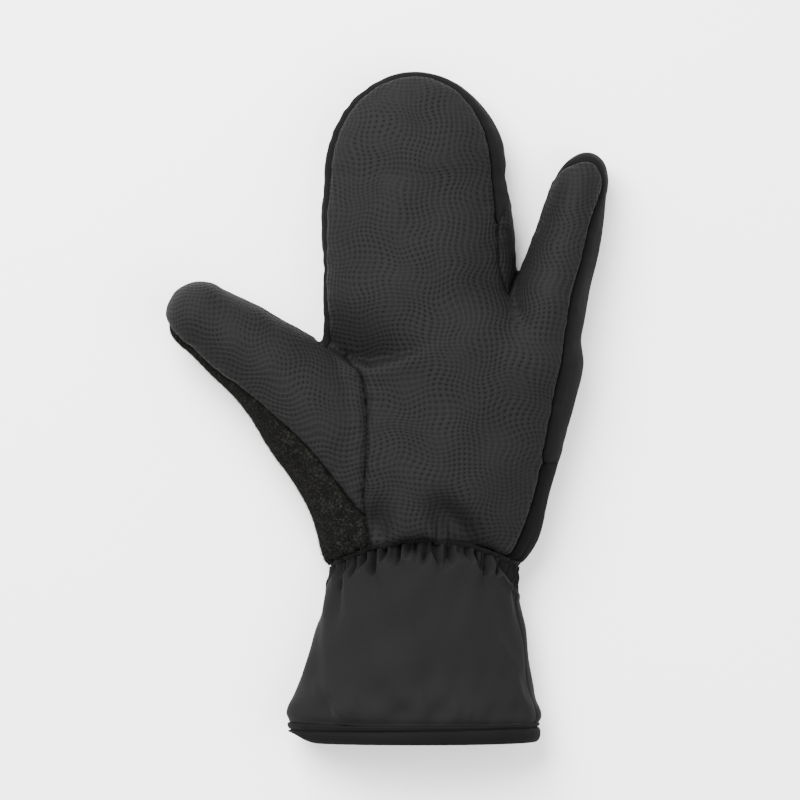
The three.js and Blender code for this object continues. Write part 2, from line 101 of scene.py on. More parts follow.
# Each tube: along, left, right, bottom, top, and the palm seam's inset from the left and the right outline.
handTube = {
    "rows": [
        sizedRows([[0, -0.447, 0.553, 0, 1.0, 0.028, 0.076]], 214, 85, 38),
        sizedRows([
            [0.07, -0.355, 0.498, 0, 0.92, 0.022, 0.07],
            [0.15, -0.36, 0.537, 0, 0.97, 0.022, 0.056],
            [0.24, -0.362, 0.575, 0, 1.0, 0.022, 0.06],
            [0.33, -0.365, 0.618, 0, 1.0, 0.022, 0.07],
            [0.42, -0.365, 0.625, 0, 0.98, 0.022, 0.056],
            [0.48, -0.363, 0.55, 0, 0.96, 0.022, 0.05],
            [0.54, -0.362, 0.415, 0, 0.94, 0.012, 0.03],
            [0.6, -0.362, 0.405, 0, 0.92, 0.01, 0.067],
            [0.7, -0.368, 0.391, 0, 0.88, 0.017, 0.063],
            [0.79, -0.357, 0.363, 0.02, 0.82, 0.022, 0.052],
        ], 214, 110, 45),
    ],
    "x": 0, "y": 0, "turn": 90, "tip": 45, "root": 300, "tipSeam": 1.4, "lean": 0, "waist": 0.4,
}
littleTube = {
    "rows": [
        sizedRows([
            [0, -0.28, 0.28, 0.12, 0.7, 0.05, 0.05],
            [0.22, -0.485, 0.485, 0.01, 0.95, -0.02, 0.18],
            [0.36, -0.51, 0.51, 0.01, 1.0, -0.02, 0.195],
            [0.49, -0.49, 0.49, 0.01, 0.96, -0.02, 0.2],
            [0.6, -0.465, 0.465, 0.02, 0.91, -0.02, 0.18],
            [0.74, -0.425, 0.425, 0.05, 0.85, -0.02, 0.16],
            [0.845, -0.378, 0.378, 0.08, 0.8, -0.02, 0.07],
        ], 119.5, 34, 40),
    ],
    "x": 0, "y": 59.9, "turn": 90, "tip": 18.5, "root": 16, "tipSeam": 3.6, "lean": 0.24, "waist": 0.42,
}
littleMiddle = 110 * np.array([[0.44], [0.485], [0.503], [0.535], [0.571], [0.616], [0.641]])
littleTube["rows"][0][:, 1:3] += littleMiddle
thumbTube = {
    "rows": [
        sizedRows([
            [-0.1, -1.74, 0.1, 0, 0.84, 0.72, -0.3],
            [0.125, -1.32, 0.2, 0, 0.94, 0.43, -0.3],
        ], 104, 39, 45),
        sizedRows([
            [0.28, -1.11, 0.27, 0.02, 1.0, 0.32, -0.08],
            [0.44, -0.9, 0.27, 0.08, 0.99, 0.2, -0.05],
            [0.555, -0.767, 0.262, 0.13, 0.97, 0.12, -0.04],
            [0.69, -0.664, 0.258, 0.18, 0.95, 0.06, -0.04],
            [0.842, -0.577, 0.222, 0.24, 0.93, 0.06, -0.04],
        ], 104, 39, 42),
    ],
    "x": -12.0, "y": 68.9, "turn": 150, "tip": 16.5, "root": 16, "tipSeam": -1.2, "lean": 0.07, "waist": 0.45,
}
for tube in (handTube, littleTube, thumbTube):
    tube["table"] = fineTable(tube["rows"])

# Hollows pressed into the palm. The fold is the deep crease that runs in from the crotch of the thumb.
hollows = {
    "fold": {"x": [-60, -37.7, -29.7, -19.6, -7.5, 4, 14], "y": [104, 96.4, 91.4, 89.3, 91.4, 95, 99],
             "depth": [8, 15, 17, 13, 6, 1.5, 0], "above": 10.0, "below": 2.0, "sharp": 1.3,
             "square": 0.96,  # the fold lies aslant, so a step up the hand is this much square to it
             "ridge": 1.2, "ridgeBelow": 5.5, "ridgeReach": 4, "ridgeFull": 12},  # full at this depth
    "troughs": [[7.0, 31.0, 28.0, 6.0, 7.0, 9.0]],  # from x, y to x, y, half width, depth
    "troughMiddle": 1.15, "troughFade": 1.1,  # deepest place (2 is the far end), and how fast the ends fade
    "spots": [  # x, y, reach across, reach along, depth
        [-15.5, 18.0, 5.5, 9.0, 6.0],
        [13.0, 64.0, 33.0, 24.0, 2.4],
    ],
}


def softNoise(p, size, seed):  # a sum of plane waves in random directions, all near one wavelength in mm
    rng = np.random.default_rng(seed)
    total = np.zeros(len(p))
    waves = 14
    for _ in range(waves):
        way = rng.normal(size=3)
        way *= 2 * math.pi / (size * rng.uniform(0.75, 1.35)) / np.linalg.norm(way)
        total += np.cos(p @ way + rng.uniform(0, 2 * math.pi))
    return total / math.sqrt(waves / 2)


def besideLine(x, y, x0, y0, x1, y1):  # share of the way from one point to the other, and distance to the side
    dx, dy = x1 - x0, y1 - y0
    t = ((x - x0) * dx + (y - y0) * dy) / (dx * dx + dy * dy)
    return t, ((x - x0) * dy - (y - y0) * dx) / math.hypot(dx, dy)


def hollowAt(x, y):
    # Depth of the palm's hollows: a one-sided step along the fold with a low ridge below it, bells along the
    # troughs, and round bells for the spots.
    fold = hollows["fold"]
    q = (y - np.interp(x, fold["x"], fold["y"])) * fold["square"]
    depth = np.interp(x, fold["x"], fold["depth"])
    side = np.where(q > 0, np.exp(-(np.abs(q) / fold["above"]) ** fold["sharp"]), bell(q, fold["below"]))
    press = depth * side
    press -= depth / fold["ridgeFull"] * fold["ridge"] * bell(q + fold["ridgeBelow"], fold["ridgeReach"])
    for x0, y0, x1, y1, half, deep in hollows["troughs"]:
        t, off = besideLine(x, y, x0, y0, x1, y1)
        ends = np.exp(-np.abs(2 * t - hollows["troughMiddle"]) ** 3 * hollows["troughFade"])
        press = press + deep * bell(off, half) * ends
    for cx, cy, rx, ry, deep in hollows["spots"]:
        press = press + deep * np.exp(-(((x - cx) / rx) ** 2) - ((y - cy) / ry) ** 2)
    return press


def tubeParts(tube, x, y, z, press):
    # Where a point stands in a tube's own section: across and up as shares of its half sizes, and how far
    # into a rounded end. On the surface the squares of the three add up to one.
    turn = math.radians(tube["turn"])
    dx, dy = x - tube["x"], y - tube["y"]
    along = dx * math.cos(turn) + dy * math.sin(turn)
    across = dx * math.sin(turn) - dy * math.cos(turn)
    table = tube["table"]
    held = np.clip(along, table[0, 0], table[-1, 0])
    left, right, bottom, top, seamLeft, seamRight = (
        np.interp(held, table[:, 0], column) for column in table[:, 1:].T)
    tip = np.maximum(along - table[-1, 0], 0)
    root = np.maximum(table[0, 0] - along, 0)
    half = (right - left) / 2
    middle = bottom + tube["waist"] * (top - bottom)
    rise = (1 - tube["waist"]) * (top - bottom) - press
    height = np.where(z > middle, rise, middle - bottom)
    u = (across - (left + right) / 2 - tube["lean"] * tip) / half
    w = (z - middle) / height
    end = tip / tube["tip"] + root / tube["root"]
    endSize = np.where(tip > 0, tube["tip"], tube["root"])
    return {"u": u, "w": w, "end": end, "endSize": endSize, "half": half, "height": height,
            "along": along, "tip": tip, "middle": (left + right) / 2 + tube["lean"] * tip,
            "seamLeft": seamLeft, "seamRight": seamRight}


def tubeField(tube, x, y, z, press):  # about the distance to the tube's surface, negative inside
    t = tubeParts(tube, x, y, z, press)
    k0 = np.sqrt(t["u"] ** 2 + t["w"] ** 2 + t["end"] ** 2)
    k1 = np.sqrt((t["u"] / t["half"]) ** 2 + (t["w"] / t["height"]) ** 2 + (t["end"] / t["endSize"]) ** 2)
    return k0 * (k0 - 1) / np.maximum(k1, 1e-4)


def softUnion(a, b, blend):  # the smaller of two distances, rounded where they are nearly equal
    h = np.clip(blend - np.abs(a - b), 0, None) / blend
    return np.minimum(a, b) - h * h * blend / 4


def mittField(p):
    # The hand's form: the tubes of hand, little finger and thumb, joined softly, cut flat below. The joints are
    # round low down and sharp in the crotches.
    x, y, z = p[:, 0], p[:, 1], p[:, 2]
    press = hollowAt(x, y)
    high = ramp(y, mitt["crotchFrom"], mitt["crotchTo"])
    low = ramp(y, mitt["webFrom"], mitt["webTo"])
    d = softUnion(tubeField(handTube, x, y, z, press), tubeField(littleTube, x, y, z, press),
                  mitt["littleBlend"] + (mitt["crotchBlend"] - mitt["littleBlend"]) * high)
    thumbPress = press * ramp(x, mitt["hollowFrom"], mitt["hollowTo"])
    d = softUnion(d, tubeField(thumbTube, x, y, z, thumbPress),
                  mitt["thumbBlend"] + (mitt["webBlend"] - mitt["thumbBlend"]) * low)
    return -softUnion(-d, z, mitt["edge"])


def slope(field, p, reach=0.25):  # gradient of a field by central differences
    steps = np.eye(3) * reach
    return np.stack([field(p + s) - field(p - s) for s in steps], axis=1) / (2 * reach)


def ontoSurface(p, rounds=3):  # moves points along the gradient until the field is nought
    for _ in range(rounds):
        g = slope(mittField, p)
        move = mittField(p)[:, None] * g / np.maximum((g * g).sum(1), 0.05)[:, None]
        p = p - np.clip(move, -1.5, 1.5)
    return p


def surfaceNet(low, high, step):
    # The field on a block of grid points. Each cell that the surface crosses gives one point, the mean of the
    # places where its edges cross it, and each crossed edge joins its four cells into a face.
    axes = [np.arange(a, b, step) for a, b in zip(low, high)]
    n = [len(a) for a in axes]
    value = np.empty(n, np.float32)
    for i, x in enumerate(axes[0]):
        yy, zz = np.meshgrid(axes[1], axes[2], indexing="ij")
        block = np.stack([np.full(yy.size, x), yy.ravel(), zz.ravel()], axis=1)
        value[i] = mittField(block).reshape(n[1], n[2])
    inside = value < 0
    total = np.zeros([m - 1 for m in n] + [3], np.float32)
    count = np.zeros([m - 1 for m in n], np.float32)
    crossed = []
    for axis in range(3):
        v0 = np.moveaxis(value, axis, 0)[:-1]
        v1 = np.moveaxis(value, axis, 0)[1:]
        cross = (v0 < 0) != (v1 < 0)
        share = np.where(cross, v0 / np.where(cross, v0 - v1, 1), 0)
        cross, share = np.moveaxis(cross, 0, axis), np.moveaxis(share, 0, axis)
        crossed.append(cross)
        steps = [np.arange(m, dtype=np.float32) for m in cross.shape]
        place = np.stack(np.meshgrid(*steps, indexing="ij"), axis=-1)
        place[..., axis] += share
        others = [a for a in range(3) if a != axis]
        for shift in ((0, 0), (0, 1), (1, 0), (1, 1)):
            cut = [slice(None)] * 3
            for a, s in zip(others, shift):
                cut[a] = slice(s, n[a] - 1 + s)
            cut = tuple(cut)
            total += place[cut] * cross[cut][..., None]
            count += cross[cut]
    live = count > 0
    number = np.cumsum(live).reshape(live.shape) - 1
    points = total[live] / count[live][:, None] * step + np.array(low)
    faces = []
    for axis in range(3):
        a, b = (axis + 1) % 3, (axis + 2) % 3
        at = np.argwhere(crossed[axis])
        at = at[(at[:, a] > 0) & (at[:, b] > 0) & (at[:, a] < n[a] - 1) & (at[:, b] < n[b] - 1)]
        outward = inside[tuple(at.T)]
        quad = []
        for sa, sb in ((1, 1), (0, 1), (0, 0), (1, 0)):
            cell = at.copy()
            cell[:, a] -= sa
            cell[:, b] -= sb
            quad.append(number[tuple(cell.T)])
        quad = np.stack(quad, axis=1)
        quad[~outward] = quad[~outward][:, ::-1]
        faces.append(quad)
    return points.astype(float), np.vstack(faces)


def triangles(points, quads):  # each four-sided face cut along its shorter diagonal
    a, b, c, d = quads.T
    short = np.linalg.norm(points[a] - points[c], axis=1) <= np.linalg.norm(points[b] - points[d], axis=1)
    first = np.where(short[:, None], np.stack([a, b, c], 1), np.stack([b, c, d], 1))
    second = np.where(short[:, None], np.stack([a, c, d], 1), np.stack([b, d, a], 1))
    return np.vstack([first, second])


def relaxed(points, faces):  # every point moved half way to the mean of its neighbours
    edges = np.vstack([faces[:, [0, 1]], faces[:, [1, 2]], faces[:, [2, 0]]])
    total = np.zeros_like(points)
    for c in range(3):
        total[:, c] = np.bincount(edges[:, 0], points[edges[:, 1], c], len(points))
    count = np.bincount(edges[:, 0], minlength=len(points))
    return (points + total / np.maximum(count, 1)[:, None]) / 2


def cutAlong(points, faces, value, marks):
    # Cuts the triangles along the line where value, known at every point, is nought. Marks are numbers that go
    # with the faces. A new point stands on each crossed edge, at the share where value passes nought.
    value = np.where(np.abs(value) < 0.1 * mitt["step"], 0, value)  # no slivers: the line snaps to near points
    sign = np.sign(value)
    s = sign[faces]
    mixed = (s.max(1) > 0) & (s.min(1) < 0)
    keep, cut, cutMarks = faces[~mixed], faces[mixed], marks[~mixed]
    edges = np.sort(np.vstack([cut[:, [0, 1]], cut[:, [1, 2]], cut[:, [2, 0]]]), axis=1)
    edges = edges[sign[edges[:, 0]] * sign[edges[:, 1]] < 0]
    code = np.unique(edges[:, 0].astype(np.int64) * len(points) + edges[:, 1])
    a, b = code // len(points), code % len(points)
    share = (value[a] / (value[a] - value[b]))[:, None]
    fresh = points[a] + share * (points[b] - points[a])

    def between(i, j):
        low, high = np.minimum(i, j).astype(np.int64), np.maximum(i, j)
        return len(points) + np.searchsorted(code, low * len(points) + high)

    out, outMarks = [keep], [cutMarks]
    s, m = sign[cut], marks[mixed]
    for turn in range(3):
        p, q, r = cut[:, turn], cut[:, (turn + 1) % 3], cut[:, (turn + 2) % 3]
        sp, sq, sr = s[:, turn], s[:, (turn + 1) % 3], s[:, (turn + 2) % 3]
        lone = (sp * sq < 0) & (sp * sr < 0)  # the first corner stands alone on its side
        pq, pr = between(p[lone], q[lone]), between(p[lone], r[lone])
        out += [np.stack([p[lone], pq, pr], 1), np.stack([pq, q[lone], r[lone]], 1),
                np.stack([pq, r[lone], pr], 1)]
        outMarks += [m[lone]] * 3
        through = (sp == 0) & (sq * sr < 0)  # the line passes through the first corner
        qr = between(q[through], r[through])
        out += [np.stack([p[through], q[through], qr], 1), np.stack([p[through], qr, r[through]], 1)]
        outMarks += [m[through]] * 2
    value = np.concatenate([value, np.zeros(len(fresh))])
    faces = np.vstack(out)
    side = value[faces].sum(1) > 0
    return np.vstack([points, fresh]), faces, side, np.concatenate(outMarks)


def seamSide(tube, p):
    # How far inside the tube's palm seam a point is, seen from above. Below the widest line it is negative.
    t = tubeParts(tube, p[:, 0], p[:, 1], p[:, 2], hollowAt(p[:, 0], p[:, 1]))
    tip = t["tip"] / tube["tip"]
    flat = np.sqrt(t["u"] ** 2 + tip**2)
    inset = t["seamLeft"] + (t["seamRight"] - t["seamLeft"]) * np.clip(t["u"] + 0.5, 0, 1)
    share = tip**2 / np.maximum(flat**2, 1e-6)
    size = t["half"] * (1 - share) + tube["tip"] * share
    inset = inset * (1 - share) + tube["tipSeam"] * share
    above = size * (1 - flat) - inset
    below = -inset + t["w"] * t["height"]
    value = np.where(t["w"] > 0, above, below)
    return np.minimum(value, t["along"] - tube["table"][0, 0] + seams["rootReach"])


def throughPoints(spots, steps):  # a smooth line through points: a cubic over each stretch, slopes shared
    spots = np.asarray(spots, float)
    t = np.linspace(0, len(spots) - 1, steps)
    i = np.minimum(t.astype(int), len(spots) - 2)
    f = (t - i)[:, None]
    p0, p1, p2, p3 = (spots[np.clip(i + k, 0, len(spots) - 1)] for k in (-1, 0, 1, 2))
    v1, v2 = (p2 - p0) / 2, (p3 - p1) / 2
    return p1 + v1 * f + (3 * (p2 - p1) - 2 * v1 - v2) * f**2 + (2 * (p1 - p2) + v1 + v2) * f**3


def insideOutline(outline, x, y):  # distance to a closed outline seen from above, positive inside
    a, b = outline, np.roll(outline, -1, axis=0)
    nearest = np.full(len(x), 1e9)
    odd = np.zeros(len(x), bool)
    for (ax, ay), (bx, by) in zip(a, b):
        ex, ey = bx - ax, by - ay
        t = np.clip(((x - ax) * ex + (y - ay) * ey) / (ex * ex + ey * ey), 0, 1)
        nearest = np.minimum(nearest, np.hypot(x - ax - t * ex, y - ay - t * ey))
        if ay != by:
            odd ^= ((ay > y) != (by > y)) & (x < ex * (y - ay) / ey + ax)
    return np.where(odd, nearest, -nearest)


# Seam lines that are laid out from above: round the thumb's root, the crotch gusset and the yoke.
seams = {
    "thumb": np.array([
        [-0.376, 0.462], [-0.358, 0.447], [-0.285, 0.433], [-0.238, 0.407], [-0.207, 0.367], [-0.187, 0.316],
        [-0.187, 0.256], [-0.195, 0.176], [-0.199, 0.134], [-0.172, 0.055], [-0.16, -0.08],
    ]) * [110, 214],
    "gusset": np.array([
        [0.22, 0.46], [0.53, 0.46], [0.57, 0.7], [0.46, 0.64], [0.445, 0.81], [0.22, 0.58],
    ]) * [110, 214],
    "gussetFoot": 9.0,
    "yoke": 44.9,
    "rootReach": 16,  # how far a tube's palm seam runs on past its root
    "groove": 1.0, "grooveWidth": 1.4,  # depth and reach of a seam's groove
    "bulge": 0.2, "bulgeAt": 4.0, "bulgeWidth": 2.2,  # the padding that rises beside it
    "stepOver": 1.1, "stepUnder": 5,  # reach of a step into the upper and into the lower panel
    "gap": 0.75, "backToGusset": 0.6,  # half width of the painted shadow line between two panels, and the strength of one that is paler
    "pucker": 0.16, "puckerSize": 6.5, "puckerReach": 6.0,
    "uneven": 0.28, "unevenSize": 26, "unevenFrom": 8,
    # By the marks of the two panels that meet, the lower one first, so that 12 is palm and gusset
    "strengths": {2: 0.2, 3: 0.5, 12: 0.35, 14: 1.5, 45: 1.15},
    "steps": {1: 0.7, 12: 0.3, 13: 0.6, 45: 1.7},  # how far the panel beside palm or thumb front lies lower
    "fadeFrom": -32, "fadeTo": -26,  # the seam of palm and thumb front dies away in the fold, left of this x
}


def archAt(x):  # the line where the gathers meet the panels: an arch over the middle of the wrist
    return wrist["arch"] * (1 - np.clip((x - wrist["middleX"]) / wrist["halfX"], -1, 1) ** 2)


# Gathers of the elastic wrist: a sunk band, and below it tongues of cloth between deep valleys, unevenly placed
gathers = {
    "spacing": [3.6, 12.5], "strength": [0.25, 1.0], "reach": [7, 22], "slant": [-0.3, 0.3], "seed": 11,
    "closing": 8,  # no valley starts so close before the first
    "depth": 4.4, "valley": 1.5, "widening": 0.07,  # of a valley: depth, half width, and its growth downwards
    "aboveShare": 0.5, "aboveReach": 5.0,  # how a valley runs out above the line
    "crown": 0.9, "crownAt": 2.9, "crownWidth": 2.0, "crownReach": 14,  # the low ridge beside each valley
    "band": 5.2, "bandHeight": 4.4, "bandAbove": 1.7, "scallop": 7.5, "rise": 4.6, "riseEarly": 2.2,
    "pleat": 1.3, "pleatShift": 0.5,  # depth of the fine pleats, and how far they move the band's edge
    "pleats": [[57, 0, 7, 0], [37, 1, 5, 2]],  # number round the wrist and phase, and the same of their spacing
    "calmSide": 0.62, "calmReach": 15.0,  # the outline at both sides stays nearly plain
}


def gatherLines():  # place in mm round the wrist, depth, reach and slant of each valley
    rng = np.random.default_rng(gathers["seed"])
    places, s = [], 0.0
    while s < wrist["round"] - gathers["closing"]:
        places.append(s)
        s += rng.uniform(*gathers["spacing"])
    places = np.array(places) * wrist["round"] / s
    random = [rng.uniform(*gathers[key], len(places)) for key in ("strength", "reach", "slant")]
    return np.stack([places] + random, 1)


gatherRows = gatherLines()


def shortWay(off, whole):  # a difference of two places on a ring, taken the short way round
    return (off + whole / 2) % whole - whole / 2


def gatherAt(around, line):
    # Depth of the gathers at a place round the wrist and a distance below the gathering line, both in mm. The
    # band is sunk, and pleated by two waves whose spacing comes and goes. The cloth rises out of it sooner on a
    # tongue than in a valley, and valleys die away downwards.
    valley = np.zeros(np.broadcast(around, line).shape)
    deep = np.zeros_like(valley)
    for place, strength, reach, slant in gatherRows:
        off = shortWay(around - place - slant * line, wrist["round"])
        width = gathers["valley"] * (1 + np.clip(line, 0, 40) * gathers["widening"])
        here = strength * bell(off, width)
        valley = np.maximum(valley, here)
        deep += here * np.exp(-(np.clip(line, 0, None) / reach) ** 1.5)
        crown = bell(off - gathers["crownAt"], gathers["crownWidth"]) * bell(line, gathers["crownReach"])
        deep -= gathers["crown"] / gathers["depth"] * strength * crown
    turn = around * 2 * math.pi / wrist["round"]
    wave = sum(np.cos(count * turn + phase + 2 * np.sin(slow * turn + shift))
               for count, phase, slow, shift in gathers["pleats"])
    start = gathers["bandHeight"] + gathers["pleatShift"] * wave + gathers["scallop"] * valley
    rise = eased(np.clip((line - start + gathers["riseEarly"]) / gathers["rise"], 0, 1))
    below = (gathers["band"] + gathers["pleat"] * wave) * (1 - rise) + gathers["depth"] * deep * rise
    above = gathers["band"] * np.exp(line / gathers["bandAbove"])
    above = above + gathers["aboveShare"] * gathers["depth"] * deep * np.exp(line / gathers["aboveReach"])
    calm = 1 - gathers["calmSide"] * bell(shortWay(around, wrist["round"] / 2), gathers["calmReach"])
    return np.where(line > 0, below, above) * calm


def aroundAt(angle):  # place round the wrist in mm
    return (angle % (2 * math.pi)) / (2 * math.pi) * wrist["round"]


def roundWrist(x, z):  # the same, from the angle about the wrist's middle
    angle = np.arctan2((z - wrist["middleZ"]) / wrist["halfZ"], (x - wrist["middleX"]) / wrist["halfX"])
    return aroundAt(angle)


def normalsOf(points, faces):  # at each point the mean of its faces' normals, weighed by area
    a, b, c = (points[faces[:, k]] for k in range(3))
    n = np.cross(b - a, c - a)
    total = [sum(np.bincount(faces[:, k], n[:, axis], len(points)) for k in range(3)) for axis in range(3)]
    total = np.stack(total, 1)
    return total / np.maximum(np.linalg.norm(total, axis=1), 1e-12)[:, None]


def nearestSeam(points, line):  # distance from each point to the nearest of the seam's points, and which it is
    found = np.empty(len(points), np.float32)
    which = np.empty(len(points), int)
    line = line.astype(np.float32)
    batch = 1500
    for start in range(0, len(points), batch):
        part = points[start:start + batch].astype(np.float32)
        d = (part**2).sum(1)[:, None] + (line**2).sum(1)[None] - 2 * part @ line.T
        nearest = d.argmin(1)
        which[start:start + batch] = nearest
        found[start:start + batch] = np.sqrt(np.maximum(d[np.arange(len(part)), nearest], 0))
    return found, which


def handCloth():
    # The whole hand as one net of triangles, cut along every seam. Marks: 0 back, 1 palm, 2 gusset, 3 yoke,
    # 4 thumb front, 5 thumb back.
    points, quads = surfaceNet(mitt["blockFrom"], mitt["blockTo"], mitt["step"])
    faces = triangles(points, quads)
    for _ in range(2):
        points = ontoSurface(relaxed(points, faces), 2)
    faces = triangles(points, quads)
    print("hand surface:", len(points), "points")
    marks = np.zeros(len(faces), int)

    def cut(value, becomes, among):  # cuts the faces of one mark, and marks anew those on the positive side
        nonlocal points, faces, marks
        touched = np.zeros(len(points), bool)
        touched[faces[marks == among]] = True
        points, faces, side, marks = cutAlong(points, faces, np.where(touched, value(points), 1e3), marks)
        marks[side & (marks == among)] = becomes
        return side

    # The wrist: everything below the arch goes
    side = cut(lambda p: p[:, 1] - archAt(p[:, 0]), 0, 0)
    faces, marks = faces[side], marks[side]
    first, last, far = seams["thumb"][0], seams["thumb"][-1], 330
    outline = np.vstack([throughPoints(seams["thumb"], 70), [[-far, last[1]], [-far, far], [first[0], far]]])
    cut(lambda p: insideOutline(outline, p[:, 0], p[:, 1]), 5, 0)
    cut(lambda p: seamSide(thumbTube, p), 4, 5)
    cut(lambda p: np.maximum(seamSide(handTube, p), seamSide(littleTube, p)), 1, 0)
    cut(lambda p: np.minimum(insideOutline(seams["gusset"], p[:, 0], p[:, 1]), p[:, 2] - seams["gussetFoot"]),
        2, 0)
    cut(lambda p: seams["yoke"] - p[:, 1], 3, 0)
    used = np.unique(faces)
    renumber = np.full(len(points), -1)
    renumber[used] = np.arange(len(used))
    return points[used], renumber[faces], marks


handPoints, handFaces, handMarks = handCloth()
print("cut into panels:", np.bincount(handMarks))


def markRange(points, faces, marks):  # the lowest and the highest mark of the panels that meet at each point
    lowest = np.full(len(points), 99)
    highest = np.full(len(points), -1)
    for k in range(3):
        np.minimum.at(lowest, faces[:, k], marks)
        np.maximum.at(highest, faces[:, k], marks)
    return lowest, highest


def byPair(pair, table, other):  # looks the pairs up in a table
    return np.select([pair == key for key in table], list(table.values()), other)


def sewn(points, faces, marks):
    # Seams pull the cloth in: a narrow bell along each seam, puckers beside it, soft unevenness in between, and
    # the gathers' folds running up from the wrist. The palm and the thumb's front lie a step over the panels
    # beside them. The lining's face keeps the plain shape, one wall further in.
    lowest, highest = markRange(points, faces, marks)
    onSeam = lowest != highest
    d, which = nearestSeam(points, points[onSeam])
    pair = (lowest * 10 + highest)[onSeam]
    fade = np.where(pair == 14, ramp(points[onSeam][:, 0], seams["fadeFrom"], seams["fadeTo"]), 1)
    quiet = fade[which]
    strength = byPair(pair, seams["strengths"], 1.0)[which] * quiet
    step = byPair(pair, seams["steps"], 0)[which]
    n = normalsOf(points, faces)
    inward = strength * seams["groove"] * bell(d, seams["grooveWidth"])
    inward -= seams["bulge"] * strength * bell(d - seams["bulgeAt"], seams["bulgeWidth"])
    upper = np.isin(lowest, [1, 4])  # palm and thumb front
    inward += step * np.where(upper, bell(d, seams["stepOver"]), np.exp(-d / seams["stepUnder"]))
    puckers = softNoise(points * [1, 1, 0.5], seams["puckerSize"], 3) * np.exp(-d / seams["puckerReach"])
    inward += seams["pucker"] * quiet * puckers
    away = 1 - np.exp(-d / seams["unevenFrom"])
    inward += seams["uneven"] * softNoise(points, seams["unevenSize"], 5) * away
    below = archAt(points[:, 0]) - points[:, 1]
    inward += gatherAt(roundWrist(points[:, 0], points[:, 2]), below)
    faceDown = n[:, 2] < -0.5
    inward *= np.where(faceDown, ramp(points[:, 2], mitt["flatUpTo"], mitt["reliefFrom"]), 1)
    outer = points - n * inward[:, None]
    inner = points - n * (mitt["wall"] + np.maximum(inward, 0))[:, None]
    outer[:, 2] = np.maximum(outer[:, 2], 0)
    inner[:, 2] = np.maximum(inner[:, 2], mitt["wall"] * 0.6)
    # Painted shadow in the seams: the shade is nought on a seam, weaker between back and gusset, and dies away
    # with the seam in the fold
    dark = np.where(pair == 2, seams["backToGusset"], fade)[which]
    return outer, inner, np.clip(d / seams["gap"], 0, 1) * dark + 1 - dark


handOuter, handInner, seamShade = sewn(handPoints, handFaces, handMarks)
print("seams drawn in")


def walled(outer, inner, faces):
    # A closed wall: the outer faces, the inner ones turned round, and a strip between them along every open
    # edge. The finish is 1 on the inner faces, which are lining.
    count = len(outer)
    edges = np.vstack([faces[:, [0, 1]], faces[:, [1, 2]], faces[:, [2, 0]]]).astype(np.int64)
    code = edges[:, 0] * count + edges[:, 1]
    back = edges[:, 1] * count + edges[:, 0]
    a, b = edges[~np.isin(code, back)].T
    rim = np.vstack([np.stack([b, a, a + count], 1), np.stack([b, a + count, b + count], 1)])
    finish = np.repeat([0, 1, 0], [len(faces), len(faces), len(rim)])
    return np.vstack([outer, inner]), np.vstack([faces, faces[:, ::-1] + count, rim]), finish


def meshOf(name, points, faces, shade):
    # Hand millimetres to the frame's metres. The shade, kept on the points, is nought in a seam and one away
    # from it, and is painted shadow that makes the thin dark gap between two panels.
    mesh = bpy.data.meshes.new(name)
    place = (points + [mitt["moveX"], mitt["moveY"], 0]) / 1000
    mesh.from_pydata(place.tolist(), [], faces.tolist())
    mesh.update()
    piece = bpy.data.objects.new(name, mesh)
    bpy.context.scene.collection.objects.link(piece)
    mesh.shade_smooth()
    mesh.set_sharp_from_angle(angle=math.radians(mitt["sharpAngle"]))
    mesh.attributes.new("seamShade", "FLOAT", "POINT").data.foreach_set("value", shade.astype(np.float32))
    return piece


def laidFlat(tube, p):
    # Place on the cloth as it lay before it was bent round the tube: along the tube, and across it by the
    # length of the arc from the crown. Over the rounded end the arc runs outwards from the end's middle. Past
    # the widest line the cloth goes straight down, after an arc of middling height.
    t = tubeParts(tube, p[:, 0], p[:, 1], p[:, 2], 0)
    tip = t["tip"] / tube["tip"]
    share = np.clip(np.sqrt(t["u"] ** 2 + tip**2), 1e-4, None)
    reach = np.stack([t["u"] * t["half"], t["tip"]], 1)
    plan = np.linalg.norm(reach, axis=1)
    bends, middling = 16, 20.0
    bend = np.arcsin(np.minimum(share, 1))[:, None] * (np.arange(bends) + 0.5) / bends
    rise = np.where(t["w"] > 0, t["height"], middling)[:, None]
    arc = np.sqrt((plan / share)[:, None] ** 2 * np.cos(bend) ** 2 + rise**2 * np.sin(bend) ** 2).mean(1)
    arc = arc * np.arcsin(np.minimum(share, 1)) + np.where(t["w"] < 0, -t["w"] * t["height"], 0)
    flat = reach / np.maximum(plan, 1e-4)[:, None] * arc[:, None]
    flat[:, 0] += t["middle"]
    flat[:, 1] += t["along"] - t["tip"] + tube["y"] * (tube is littleTube)
    return flat


def clothPlace(p, ofThumb):  # millimetres on the flat cloth, blended where the little finger leaves the palm
    if ofThumb:  # the thumb's front is turned so that its rows run as the palm's do
        flat, turn = laidFlat(thumbTube, p), math.radians(thumbTube["turn"])
        return np.stack([flat[:, 1] * math.sin(turn) - flat[:, 0] * math.cos(turn),
                         flat[:, 1] * math.cos(turn) + flat[:, 0] * math.sin(turn)], 1)
    zero = np.zeros(len(p))
    near = tubeField(handTube, *p.T, zero) - tubeField(littleTube, *p.T, zero)
    share = eased(np.clip(near / 8 + 0.5, 0, 1))[:, None] * (p[:, 1] > littleTube["y"] + 0.1)[:, None]
    return laidFlat(handTube, p) * (1 - share) + laidFlat(littleTube, p) * share


def addNode(tree, kind, inputs={}, **settings):  # a node, its settings, and its inputs: values, links or nodes
    node = tree.nodes.new(kind)
    for key, value in settings.items():
        setattr(node, key, value)
    for key, value in inputs.items():
        value = value.outputs[0] if isinstance(value, bpy.types.Node) else value
        if isinstance(value, bpy.types.NodeSocket):
            tree.links.new(value, node.inputs[key])
        else:
            node.inputs[key].default_value = value
    return node


